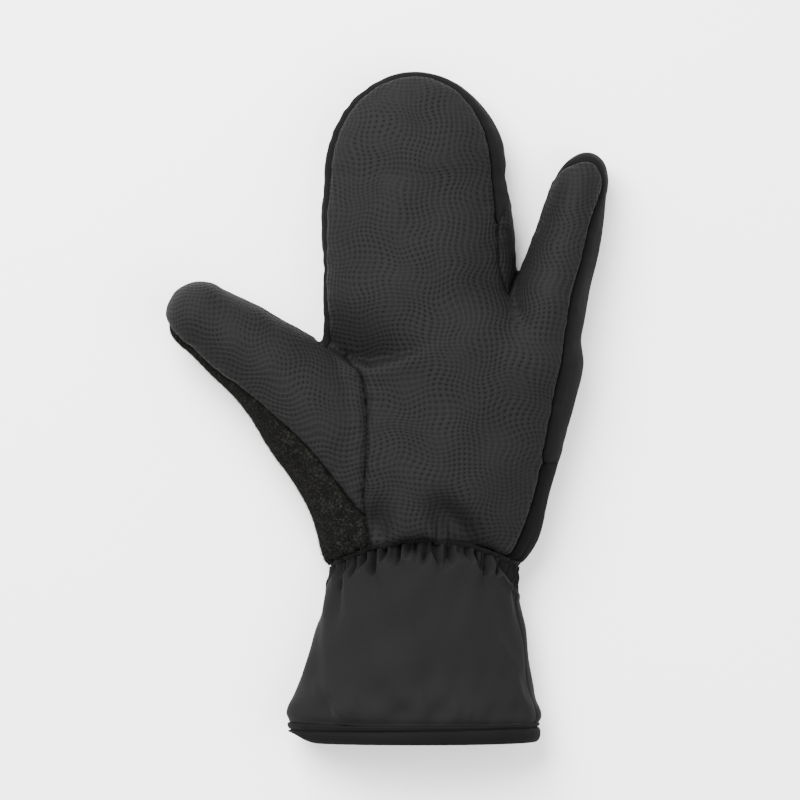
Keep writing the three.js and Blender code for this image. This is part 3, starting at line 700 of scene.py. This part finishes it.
def linear(code):  # sRGB hex to linear
    part = [int(code[i:i + 2], 16) / 255 for i in (1, 3, 5)]
    return [c / 12.92 if c <= 0.04045 else ((c + 0.055) / 1.055) ** 2.4 for c in part] + [1]


def newMaterial(name, gloss=0.01):  # cloth hardly shines, so the usual gloss is very low
    material = bpy.data.materials.new(name)
    material.use_nodes = True
    tree = material.node_tree
    tree.nodes.clear()
    shader = addNode(tree, "ShaderNodeBsdfPrincipled", {"Specular IOR Level": gloss})
    addNode(tree, "ShaderNodeOutputMaterial", {"Surface": shader})
    return material, tree, shader


def paintedShade(tree, colour, shader):  # the base colour with painted shade, darker where the shade kept on the points falls
    darkest = 0.22
    kept = addNode(tree, "ShaderNodeAttribute", attribute_name="seamShade").outputs["Fac"]
    share = addNode(tree, "ShaderNodeMapRange", {"Value": kept, "To Min": darkest, "To Max": 1.0})
    shaded = addNode(tree, "ShaderNodeVectorMath", {0: colour, "Scale": share}, operation="SCALE")
    tree.links.new(shaded.outputs[0], shader.inputs["Base Color"])


# The palm's cloth, in mm. Across and along the hand: spacing of the dimples, reach and length of the sway that
# makes their rows wave, and length and size of its own change.
emboss = {
    # Colours: the dimples' is painted shade, the ridges' painted highlight, and the land's the leather's own
    "dimpleShade": "#0b0b0b", "land": "#121212", "ridge": "#151515",
    "across": {"pitch": 2.45, "reach": 1.0, "length": 20.0, "change": 58, "shift": 1.3},
    "along": {"pitch": 2.0, "reach": 0.9, "length": 31, "change": 66, "shift": 1.4},
    "drift": 9,  # how far a slow noise moves them besides
    "landEdge": [0.14, 0.58], "ridgeEdge": [0.8, 1.4],  # from a dimple's middle: start and full
    "strength": [0.2, 0.8],  # the dimples' strength wanders between these
    "ridgeHeight": 0.3, "grainHeight": 0.35, "depth": 0.0005,  # shares of the depth, which is in metres
}


def embossedLeather():
    # Microfibre synthetic leather with a rolled-in relief of small dimples in wavy rows. The dimples are dull
    # and painted dark as shade; the land rises to thin ridges where four of them meet, painted paler as
    # highlight.
    material, tree, shader = newMaterial("embossedLeather", 0.05)
    flat = addNode(tree, "ShaderNodeUVMap", uv_map="cloth")
    drift = addNode(tree, "ShaderNodeTexNoise", {"Vector": flat, "Scale": 0.045, "Detail": 1.0})
    reach = (emboss["drift"], emboss["drift"], 0)
    drawn = addNode(tree, "ShaderNodeVectorMath", {0: drift.outputs["Color"], 1: reach, 2: flat},
                    operation="MULTIPLY_ADD")
    split = addNode(tree, "ShaderNodeSeparateXYZ", {0: drawn})

    # Each coordinate is moved by a sine of the other, whose phase itself sways, and gives the square of the
    # distance to the nearest row of dimples. Terms are numbers, or earlier steps by name.
    squares = []
    for key, mine, other in (("across", 0, 1), ("along", 1, 0)):
        look = emboss[key]
        made = {"mine": split.outputs[mine], "other": split.outputs[other]}
        for name, operation, *terms in (
            ("turn", "MULTIPLY", "mine", 2 * math.pi / look["change"]),
            ("change", "SINE", "turn"),
            ("shift", "MULTIPLY", "change", look["shift"]),
            ("phase", "MULTIPLY_ADD", "other", 2 * math.pi / look["length"], "shift"),
            ("sway", "SINE", "phase"),
            ("moved", "MULTIPLY_ADD", "sway", look["reach"], "mine"),
            ("rows", "DIVIDE", "moved", look["pitch"]),
            ("part", "FRACT", "rows"),
            ("share", "SUBTRACT", "part", 0.5),
            ("off", "MULTIPLY", "share", look["pitch"]),
            ("distance", "ABSOLUTE", "off"),
            ("square", "POWER", "distance", 2.0),
        ):
            inputs = {place: made.get(term, term) for place, term in enumerate(terms)}
            made[name] = addNode(tree, "ShaderNodeMath", inputs, operation=operation)
        squares.append(made["square"])
    total = addNode(tree, "ShaderNodeMath", {0: squares[0], 1: squares[1]}, operation="ADD")
    far = addNode(tree, "ShaderNodeMath", {0: total}, operation="SQRT")
    land, ridge = (
        addNode(tree, "ShaderNodeMapRange", {"Value": far, "From Min": start, "From Max": full},
                interpolation_type="SMOOTHSTEP")
        for start, full in (emboss["landEdge"], emboss["ridgeEdge"]))
    patch = addNode(tree, "ShaderNodeTexNoise", {"Vector": flat, "Scale": 0.07, "Detail": 2.0})
    weak, strong = emboss["strength"]
    strength = addNode(tree, "ShaderNodeMapRange", {
        "Value": patch, "From Min": 0.35, "From Max": 0.6, "To Min": weak, "To Max": strong})
    # Painted shade in the dimples and painted highlight on the ridges, where the relief would lose or catch
    # light
    inDimple = addNode(tree, "ShaderNodeMath", {0: 1.0, 1: land}, operation="SUBTRACT")
    dark = addNode(tree, "ShaderNodeMath", {0: inDimple, 1: strength}, operation="MULTIPLY")
    plain = addNode(tree, "ShaderNodeMix", {0: ridge, 6: linear(emboss["land"]), 7: linear(emboss["ridge"])},
                    data_type="RGBA").outputs[2]
    colour = addNode(tree, "ShaderNodeMix", {0: dark, 6: plain, 7: linear(emboss["dimpleShade"])}, data_type="RGBA")
    paintedShade(tree, colour.outputs[2], shader)
    rough = addNode(tree, "ShaderNodeMapRange", {"Value": dark, "To Min": 0.66, "To Max": 0.9})
    tree.links.new(rough.outputs[0], shader.inputs["Roughness"])
    grain = addNode(tree, "ShaderNodeTexNoise", {"Vector": flat, "Scale": 1.6, "Detail": 3.0})
    high = addNode(tree, "ShaderNodeMath", {0: ridge, 1: emboss["ridgeHeight"]}, operation="MULTIPLY")
    raised = addNode(tree, "ShaderNodeMath", {0: grain, 1: emboss["grainHeight"], 2: high},
                     operation="MULTIPLY_ADD")
    height = addNode(tree, "ShaderNodeMath", {0: dark, 1: -1.0, 2: raised}, operation="MULTIPLY_ADD")
    bump = addNode(tree, "ShaderNodeBump", {"Height": height, "Strength": 1.0, "Distance": emboss["depth"]})
    tree.links.new(bump.outputs[0], shader.inputs["Normal"])
    return material


def wovenCloth(name, base, light, thread, roughness, sheen, crease, gloss=0.01):
    # Plain woven cloth: crossing threads, a slow unevenness of colour, and creases too shallow for the mesh.
    # Real threads are 0.25 to 0.4 mm and drawn about twice as wide, so that they show.
    material, tree, shader = newMaterial(name, gloss)
    place = addNode(tree, "ShaderNodeTexCoord").outputs["Object"]
    scale = 314 / (thread * 1000)  # the texture repeats every 0.314 m divided by its scale
    weave = []
    for turn in (0.0, math.pi / 2):
        spot = addNode(tree, "ShaderNodeMapping", {"Vector": place, "Rotation": (0, 0, turn)})
        wave = addNode(tree, "ShaderNodeTexWave", {
            "Vector": spot, "Scale": scale, "Distortion": 0.6, "Detail": 1.0}, bands_direction="X")
        weave.append(wave.outputs["Fac"])
    threads = addNode(tree, "ShaderNodeMath", {0: weave[0], 1: weave[1]}, operation="MULTIPLY")
    slow = addNode(tree, "ShaderNodeTexNoise", {"Vector": place, "Scale": 45.0, "Detail": 4.0})
    mixed = addNode(tree, "ShaderNodeMath", {0: slow, 1: 0.55, 2: threads}, operation="MULTIPLY_ADD")
    share = addNode(tree, "ShaderNodeMapRange", {"Value": mixed, "From Min": 0.15, "From Max": 1.2})
    colour = addNode(tree, "ShaderNodeMix", {0: share, 6: linear(base), 7: linear(light)}, data_type="RGBA")
    paintedShade(tree, colour.outputs[2], shader)
    shader.inputs["Roughness"].default_value = roughness
    shader.inputs["Sheen Weight"].default_value = sheen
    shader.inputs["Sheen Roughness"].default_value = 0.5
    fine = addNode(tree, "ShaderNodeTexNoise", {"Vector": place, "Scale": 900.0, "Detail": 2.0})
    height = addNode(tree, "ShaderNodeMath", {0: fine, 1: 0.5, 2: threads}, operation="MULTIPLY_ADD")
    small = addNode(tree, "ShaderNodeBump", {"Height": height, "Strength": 0.2, "Distance": 0.0002})
    folds = addNode(tree, "ShaderNodeTexNoise", {
        "Vector": place, "Scale": 130.0, "Detail": 3.0, "Distortion": 0.8})
    large = addNode(tree, "ShaderNodeBump", {
        "Height": folds, "Strength": crease, "Distance": 0.0012, "Normal": small})
    tree.links.new(large.outputs[0], shader.inputs["Normal"])
    return material


def brushedFleece(name, base, light, sparse):
    # Brushed nap: short tangled fibres that catch the light in small pale specks and swallow it between them.
    material, tree, shader = newMaterial(name)
    place = addNode(tree, "ShaderNodeTexCoord").outputs["Object"]
    tufts = addNode(tree, "ShaderNodeTexNoise", {
        "Vector": place, "Scale": 900.0, "Detail": 4.0, "Roughness": 0.7})
    slow = addNode(tree, "ShaderNodeTexNoise", {"Vector": place, "Scale": 160.0, "Detail": 3.0})
    both = addNode(tree, "ShaderNodeMath", {0: slow, 1: 0.25, 2: tufts}, operation="MULTIPLY_ADD")
    specks = addNode(tree, "ShaderNodeMapRange", {"Value": both, "From Min": sparse, "From Max": sparse + 0.2})
    colour = addNode(tree, "ShaderNodeMix", {0: specks, 6: linear(base), 7: linear(light)}, data_type="RGBA")
    tree.links.new(colour.outputs[2], shader.inputs["Base Color"])
    shader.inputs["Roughness"].default_value = 0.98
    bump = addNode(tree, "ShaderNodeBump", {"Height": both, "Strength": 1.0, "Distance": 0.0012})
    tree.links.new(bump.outputs[0], shader.inputs["Normal"])
    return material


def fibreMaterial(base, light):  # single polyester fibres of the nap, dull and a little paler than the ground
    material, tree, shader = newMaterial("napFibre")
    place = addNode(tree, "ShaderNodeTexCoord").outputs["Object"]
    change = addNode(tree, "ShaderNodeTexNoise", {"Vector": place, "Scale": 1500.0, "Detail": 1.0})
    share = addNode(tree, "ShaderNodeMapRange", {"Value": change, "From Min": 0.4, "From Max": 0.75})
    colour = addNode(tree, "ShaderNodeMix", {0: share, 6: linear(base), 7: linear(light)}, data_type="RGBA")
    tree.links.new(colour.outputs[2], shader.inputs["Base Color"])
    shader.inputs["Roughness"].default_value = 0.8
    return material


# Woven cloths: colours between and on the threads, width of a thread in metres, roughness, sheen, strength of
# the creases, and gloss where it isn't the usual
cloths = {
    "softshell": ("#0d0d0d", "#121212", 0.0008, 0.9, 0.02, 0.25),
    "wovenNylon": ("#121212", "#161616", 0.0007, 0.7, 0.02, 0.12, 0.02),
    "yokeNylon": ("#0b0b0b", "#0f0f0f", 0.0007, 0.85, 0.01, 0.2),
    "bindingTape": ("#0a0a0a", "#141414", 0.0009, 0.7, 0.02, 0.2),
}
leather = embossedLeather()
softshell, nylon, yokeCloth, tape = (wovenCloth(name, *look) for name, look in cloths.items())
nap = brushedFleece("brushedFleece", "#0e0e0d", "#252523", 0.62)
fibre = fibreMaterial("#0c0c0b", "#33332f")
lining = brushedFleece("fleeceLining", "#080809", "#18181a", 0.62)
print("materials made")

panels = {  # by mark: piece, node, slot, finish
    0: ("back", "back_panel", "back", softshell),
    1: ("palm", "palm_panel", "palm", leather),
    2: ("gusset", "finger_gusset", "gusset", leather),
    3: ("yoke", "back_yoke", "yoke", yokeCloth),
    4: ("thumbFront", "thumb_front_panel", "thumb_front", leather),
    5: ("thumbBack", "thumb_back_panel", "thumb_back", nap),
}
fibres = {
    "count": 26000, "seed": 8, "length": [0.5, 1.15], "halfWidth": 0.06, "sunk": 0.1,
    "upright": [0.35, 1.0], "lean": 0.55, "bend": 0.6, "first": 0.6, "second": 0.5,  # shares of the length
}


def napFibres(points, faces):
    # Short fibres that stand on a cloth: each is a ribbon of two bent lengths, at a random place of a triangle
    # chosen by its area, leaning a random way off the surface.
    rng = np.random.default_rng(fibres["seed"])
    count = fibres["count"]
    a, b, c = (points[faces[:, k]] for k in range(3))
    up = np.cross(b - a, c - a)
    area = np.linalg.norm(up, axis=1)
    pick = rng.choice(len(faces), count, p=area / area.sum())
    u, v = rng.random(count), rng.random(count)
    u, v = np.where(u + v > 1, 1 - u, u)[:, None], np.where(u + v > 1, 1 - v, v)[:, None]
    root = a[pick] + u * (b[pick] - a[pick]) + v * (c[pick] - a[pick])
    n = up[pick] / area[pick][:, None]
    root -= fibres["sunk"] * n
    way = n * rng.uniform(*fibres["upright"], (count, 1)) + rng.normal(size=(count, 3)) * fibres["lean"]
    way /= np.linalg.norm(way, axis=1)[:, None]
    bent = way + rng.normal(size=(count, 3)) * fibres["bend"]
    bent /= np.linalg.norm(bent, axis=1)[:, None]
    length = rng.uniform(*fibres["length"], (count, 1))
    side = np.cross(way, rng.normal(size=(count, 3)))
    side *= fibres["halfWidth"] / np.linalg.norm(side, axis=1)[:, None]
    middle = root + way * length * fibres["first"]
    end = middle + bent * length * fibres["second"]
    net = np.stack([root - side, root + side, middle - side, middle + side, end], 1)
    net[..., 2] = np.maximum(net[..., 2], 0.02)
    ribbon = np.array([[0, 1, 3], [0, 3, 2], [2, 3, 4]])
    return net.reshape(-1, 3), (ribbon[None] + 5 * np.arange(count)[:, None, None]).reshape(-1, 3)


def handPanel(mark):
    # One panel of the hand as a closed wall. The leather ones get their place on the flat cloth, and the nap
    # its fibres, in a third material.
    name, node, slotName, finish = panels[mark]
    mine = handFaces[handMarks == mark]
    used, place = np.unique(mine, return_inverse=True)
    local = place.reshape(mine.shape)
    points, faces, side = walled(handOuter[used], handInner[used], local)
    shade = np.concatenate([seamShade[used], np.ones(len(used))])
    if finish is nap:
        more, ribbons = napFibres(handOuter[used], local)
        faces = np.vstack([faces, ribbons + len(points)])
        points = np.vstack([points, more])
        side = np.concatenate([side, np.full(len(ribbons), 2)])
        shade = np.concatenate([shade, np.ones(len(more))])
    piece = meshOf(name, points, faces, shade)
    if finish is leather:
        flat = clothPlace(handPoints[used], mark == 4)
        layer = piece.data.uv_layers.new(name="cloth")
        layer.uv.foreach_set("vector", np.vstack([flat, flat])[faces.ravel()].ravel().astype(np.float32))
    for material in (finish, lining) + ((fibre,) if finish is nap else ()):
        piece.data.materials.append(material)
    piece.data.polygons.foreach_set("material_index", side.astype(np.int32))
    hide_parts(node)
    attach(piece, "root")


for mark in panels:
    handPanel(mark)
print("hand panels made")

# The sleeve below the hand, casing and cuff. Its rows: distance below the wrist line, left, right and top.
sleeve = {
    "rows": [
        [-11, -38.25, 47.6, 38], [0, -38, 47, 38], [9.5, -38.93, 45.65, 38], [26.6, -43.4, 48.5, 38.4],
        [45.6, -49.05, 50.9, 39.2], [62.3, -54.8, 53.7, 40], [68.4, -55.15, 54.2, 40], [76, -51.8, 53.6, 39.6],
    ],
    "waist": 0.42, "sides": 440, "wall": 1.2, "casingRows": 44, "cuffRows": 110,
    "casing": 9.5, "underHand": 1.6,  # where the casing ends, and how far it reaches up under the hand
    "cuffEnd": 67.3, "cuffDrop": 0.7, "intoHem": 0.4,  # the drop is how much lower it ends at x 50
    "folds": 0.65, "foldSize": 26.0, "foldStretch": [1, 0.22, 1], "foldSeed": 21, "sunk": 0.6,
    "crumple": 0.4, "crumpleSize": 13.0, "crumpleStretch": [1, 0.6, 1], "crumpleSeed": 22,
    "calmAtHem": 20, "calmFrom": 6, "calmTo": 22,  # no folds close to the hem and to the gathers
    "swell": 0.63, "swellUneven": 0.81, "swellAt": 6, "swellReach": 5.5,  # above the hem
    "pinch": 1.1, "pinchReach": 1.7,  # at the hem
    "seam": 8.5, "seamDepth": 0.32, "seamWidth": 0.9, "seamFull": 8,  # place round the wrist, full 8 mm down
    "seamShade": 0.8, "seamDark": 0.3, "pleatShade": 0.4, "pleatFull": 6,  # painted shade in the side seam and the pleats
    "creaseAbove": 13, "creaseFade": 1.5,  # creases and pits are on the upper side alone
    "creases": [  # from x and distance below the wrist, to x and distance, height, half width
        [-38, 49, -28, 68, 1.6, 3.2], [-29, 53, -20, 68, 1.3, 2.8], [44, 44, 49, 64, 0.7, 1.6],
        [38, 30, 45, 44, 0.5, 1.8], [-44, 48, -40, 62, 0.5, 1.5], [2, 52, 5, 65, 0.5, 1.8],
        [18, 56, 17, 66, 0.6, 1.6], [24, 58, 22, 66, 0.5, 1.4],
        [36.0, -4, 37.2, 4, 2.2, 1.3], [37.0, 2.5, 42.5, 9.5, 2.0, 1.3], [41.5, 8, 46, 14, 1.0, 1.3],
    ],
    # Pits: x and distance, reach across and along, depth
    "pits": [[41.2, 1.5, 2.6, 4.8, 3.2], [44.5, 7.5, 1.8, 3.2, 2.0]],
}


def sleeveAt(angle, below, out):
    # An ellipse at each distance below the wrist, with its widest line low and its underside pressed flat. Out
    # moves the point off it.
    rows = rowsAt(sleeve["rows"], below.ravel())
    left, right, top = (rows[:, c].reshape(below.shape) for c in (1, 2, 3))
    middle = sleeve["waist"] * (top + mitt["restPress"]) - mitt["restPress"]
    lift = np.sin(angle)
    reach = np.where(lift > 0, top - middle, middle + mitt["restPress"])
    x = (left + right) / 2 + ((right - left) / 2 + out) * np.cos(angle)
    z = middle + lift * (reach + out)
    return np.stack([x, -below, z], axis=-1)


def hemAt(x):  # where the cuff's cloth ends
    return sleeve["cuffEnd"] + sleeve["cuffDrop"] * x / 50


def sleeveCloth(angle, below):
    # How far the sleeve's outer face lies off the plain form: gathers below the wrist, long soft folds that die
    # away at the hem, cloth that swells over the hem's seam, creases, pits and the side seam.
    plain = sleeveAt(angle, below, np.zeros_like(below))
    x = plain[..., 0]
    line = below + archAt(x)
    flat = plain.reshape(-1, 3)
    wide = softNoise(flat * sleeve["foldStretch"], sleeve["foldSize"], sleeve["foldSeed"])
    small = softNoise(flat * sleeve["crumpleStretch"], sleeve["crumpleSize"], sleeve["crumpleSeed"])
    wide, small = wide.reshape(below.shape), small.reshape(below.shape)
    toHem = hemAt(x) - below
    calm = np.clip(toHem / sleeve["calmAtHem"], 0, 1) * ramp(line, sleeve["calmFrom"], sleeve["calmTo"])
    out = -gatherAt(aroundAt(angle), line)
    out -= calm * (sleeve["folds"] * wide + sleeve["crumple"] * small + sleeve["sunk"])
    swell = sleeve["swell"] + sleeve["swellUneven"] * small
    out += swell * bell(toHem - sleeve["swellAt"], sleeve["swellReach"])
    out -= sleeve["pinch"] * bell(toHem, sleeve["pinchReach"])
    seam = bell(aroundAt(angle) - sleeve["seam"], sleeve["seamWidth"])
    out -= sleeve["seamDepth"] * seam * ramp(line, 0, sleeve["seamFull"])
    top = plain[..., 2] > sleeve["creaseAbove"]
    for x0, below0, x1, below1, height, half in sleeve["creases"]:
        t, off = besideLine(x, below, x0, below0, x1, below1)
        out += height * top * bell(off, half) * np.exp(-np.abs(2 * t - 1) ** 4 * sleeve["creaseFade"])
    for x0, below0, reachX, reachY, deep in sleeve["pits"]:
        out -= deep * top * np.exp(-(((x - x0) / reachX) ** 2) - ((below - below0) / reachY) ** 2)
    return out


def sleeveFaces(angle, below):  # the outer face, and the lining's face under it
    out = sleeveCloth(angle, below)
    outer = sleeveAt(angle, below, out)
    inner = sleeveAt(angle, below, out - sleeve["wall"])
    outer[..., 2] = np.maximum(outer[..., 2], 0)
    inner[..., 2] = np.maximum(inner[..., 2], sleeve["wall"])
    return outer, inner


def sleevePart(name, node, start, end, rows):
    # A closed wall between two lines round the sleeve, on a grid of angle and distance below the wrist. Start
    # and end give the distance at each x.
    sides = sleeve["sides"]
    angle = np.linspace(0, 2 * math.pi, sides, endpoint=False)[None, :].repeat(rows, 0)
    share = np.linspace(0, 1, rows)[:, None]
    first = start(sleeveAt(angle, np.zeros_like(angle), 0)[..., 0])
    last = end(sleeveAt(angle, np.full_like(angle, sleeve["cuffEnd"] - 0.3), 0)[..., 0])
    below = first + (last - first) * share
    outer, inner = sleeveFaces(angle, below)
    i, j = np.meshgrid(np.arange(rows - 1), np.arange(sides), indexing="ij")
    k = (j + 1) % sides
    quads = [i * sides + j, (i + 1) * sides + j, (i + 1) * sides + k, i * sides + k]
    net = outer.reshape(-1, 3)
    quads = np.stack(quads, axis=-1).reshape(-1, 4)
    points, faces, side = walled(net, inner.reshape(-1, 3), triangles(net, quads))
    around = angle / (2 * math.pi) * wrist["round"]
    toSeam = np.abs(around - sleeve["seam"]).ravel()
    deep = gatherAt(around, below + archAt(sleeveAt(angle, below, 0)[..., 0])).ravel()
    # Painted shade: pleats too fine for the net keep some light out, and the side seam's groove is painted
    # darker
    pleated = 1 - sleeve["pleatShade"] * ramp(deep, 0, sleeve["pleatFull"])
    seam = np.clip(toSeam / sleeve["seamShade"], sleeve["seamDark"], 1)
    shade = np.concatenate([seam * pleated, np.ones(len(net))])
    piece = meshOf(name, points, faces, shade)
    piece.data.materials.append(nylon)
    piece.data.materials.append(lining)
    piece.data.polygons.foreach_set("material_index", side.astype(np.int32))
    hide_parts(node)
    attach(piece, "root")


def casingEnd(x):
    return np.full_like(x, sleeve["casing"])


sleevePart("casing", "wrist_casing", lambda x: -archAt(x) - sleeve["underHand"], casingEnd,
           sleeve["casingRows"])
sleevePart("cuffCloth", "cuff", casingEnd, lambda x: hemAt(x) + sleeve["intoHem"], sleeve["cuffRows"])
print("sleeve made")

# Two rolls of cloth round the mouth: the turned edge, and the bound edge below it. Tops are below the wrist.
hem = {
    "sides": 420, "profile": 20, "thickness": 4.4, "squareness": 0.75, "mouth": [50, 20], "cornerReach": 4.2,
    "uneven": [[0.05, 14], [0.03, 5]],  # share of the thickness, wavelength in mm
    "fold": {"top": 67.2, "height": 3.6, "slope": -1.5, "corner": 0, "inset": 2.0, "seed": 31},
    "bind": {"top": 70.7, "height": 5.3, "slope": 1.5, "corner": 4.2, "inset": 1.5, "seed": 33},
}


def hemRoll(name, node, roll):
    # A rounded profile carried round the mouth. Its thickness wanders a little along the way, and the line
    # between the two rolls climbs from left to right. The left end of the lower one is drawn up to a corner.
    sides, profile = hem["sides"], hem["profile"]
    angle = np.linspace(0, 2 * math.pi, sides, endpoint=False)[None, :]
    turn = np.linspace(0, 2 * math.pi, profile, endpoint=False)[:, None]
    halfX, halfZ = hem["mouth"]
    way = np.stack([np.cos(angle[0]) * halfX, np.sin(angle[0]) * halfZ, np.zeros(sides)], 1)
    uneven = np.ones(sides)
    for k, (share, size) in enumerate(hem["uneven"]):
        uneven = uneven + share * softNoise(way, size, roll["seed"] + k)
    square = np.sign(np.cos(turn)) * np.abs(np.cos(turn)) ** hem["squareness"]
    tilt = roll["slope"] * (np.cos(angle) + 1) / 2
    first = roll["top"] - (tilt if roll["slope"] > 0 else 0)
    below = first + (roll["height"] + tilt) / 2 * (1 - square)
    fromLeft = (np.cos(angle) + 1) * halfX
    below = below - roll["corner"] * (1 - square) / 2 * bell(fromLeft, hem["cornerReach"])
    out = (hem["thickness"] / 2) * np.sin(turn) * uneven - roll["inset"]
    place = sleeveAt(angle * np.ones_like(turn), below, out)
    place[..., 2] = np.maximum(place[..., 2], (1 - np.sin(turn)) * hem["thickness"] / 2)
    i, j = np.meshgrid(np.arange(profile), np.arange(sides), indexing="ij")
    nextI, nextJ = (i + 1) % profile, (j + 1) % sides
    faces = [i * sides + j, i * sides + nextJ, nextI * sides + nextJ, nextI * sides + j]
    faces = np.stack(faces, axis=-1).reshape(-1, 4)
    points = place.reshape(-1, 3)
    a, b, c = (points[faces[:, n]] for n in (0, 1, 2))
    if np.einsum("ij,ij->", a, np.cross(b, c)) < 0:  # the faces point outwards where this volume is positive
        faces = faces[:, ::-1]
    piece = meshOf(name, points, faces, np.ones(len(points)))
    piece.data.materials.append(tape)
    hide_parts(node)
    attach(piece, "root")


hemRoll("hemFold", "hem_fold", hem["fold"])
hemRoll("hemBinding", "hem_binding", hem["bind"])
print("hem made")

# A plain pale floor, a broad soft light from beyond the fingertips, and a weak fill
floorSide, floorDown = 3.0, -0.0003
corners = [(x * floorSide, y * floorSide, floorDown) for x, y in ((-1, -1), (1, -1), (1, 1), (-1, 1))]
floorMesh = bpy.data.meshes.new("floor")
floorMesh.from_pydata(corners, [], [(0, 1, 2, 3)])
floor = bpy.data.objects.new("floor", floorMesh)
bpy.context.scene.collection.objects.link(floor)
paper, _, shader = newMaterial("whitePaper")
shader.inputs["Base Color"].default_value = linear("#f6f6f5")
shader.inputs["Roughness"].default_value = 0.95
floorMesh.materials.append(paper)

lights = {
    "key": {"place": (-0.5, 0.75, 1.15), "size": 1.0, "power": 90.0},
    "fill": {"place": (0.9, -0.3, 1.3), "size": 1.2, "power": 24.0},
}
for name, about in lights.items():
    lamp = bpy.data.lights.new(name, "AREA")
    lamp.energy, lamp.size = about["power"], about["size"]
    light = bpy.data.objects.new(name, lamp)
    light.location = about["place"]
    light.rotation_euler = Vector(about["place"]).to_track_quat("Z", "Y").to_euler()
    bpy.context.scene.collection.objects.link(light)
world = bpy.data.worlds.new("studio")
world.use_nodes = True
sky = world.node_tree.nodes["Background"]
sky.inputs["Color"].default_value = (1, 1, 1, 1)
sky.inputs["Strength"].default_value = 1.5
bpy.context.scene.world = world
print("stage lit")

# The camera looks straight down. At the height of the mitt's outline, 344 mm fill the frame's side.
view = {"middleX": 0.0052, "middleY": 0.003, "height": 2.2, "outline": 0.03, "across": 0.344}
camera = bpy.data.objects.new("camera", bpy.data.cameras.new("camera"))
camera.location = (view["middleX"], view["middleY"], view["height"])
camera.data.lens = camera.data.sensor_width * (view["height"] - view["outline"]) / view["across"]
camera.data.clip_end = 50
bpy.context.scene.collection.objects.link(camera)
bpy.context.scene.camera = camera
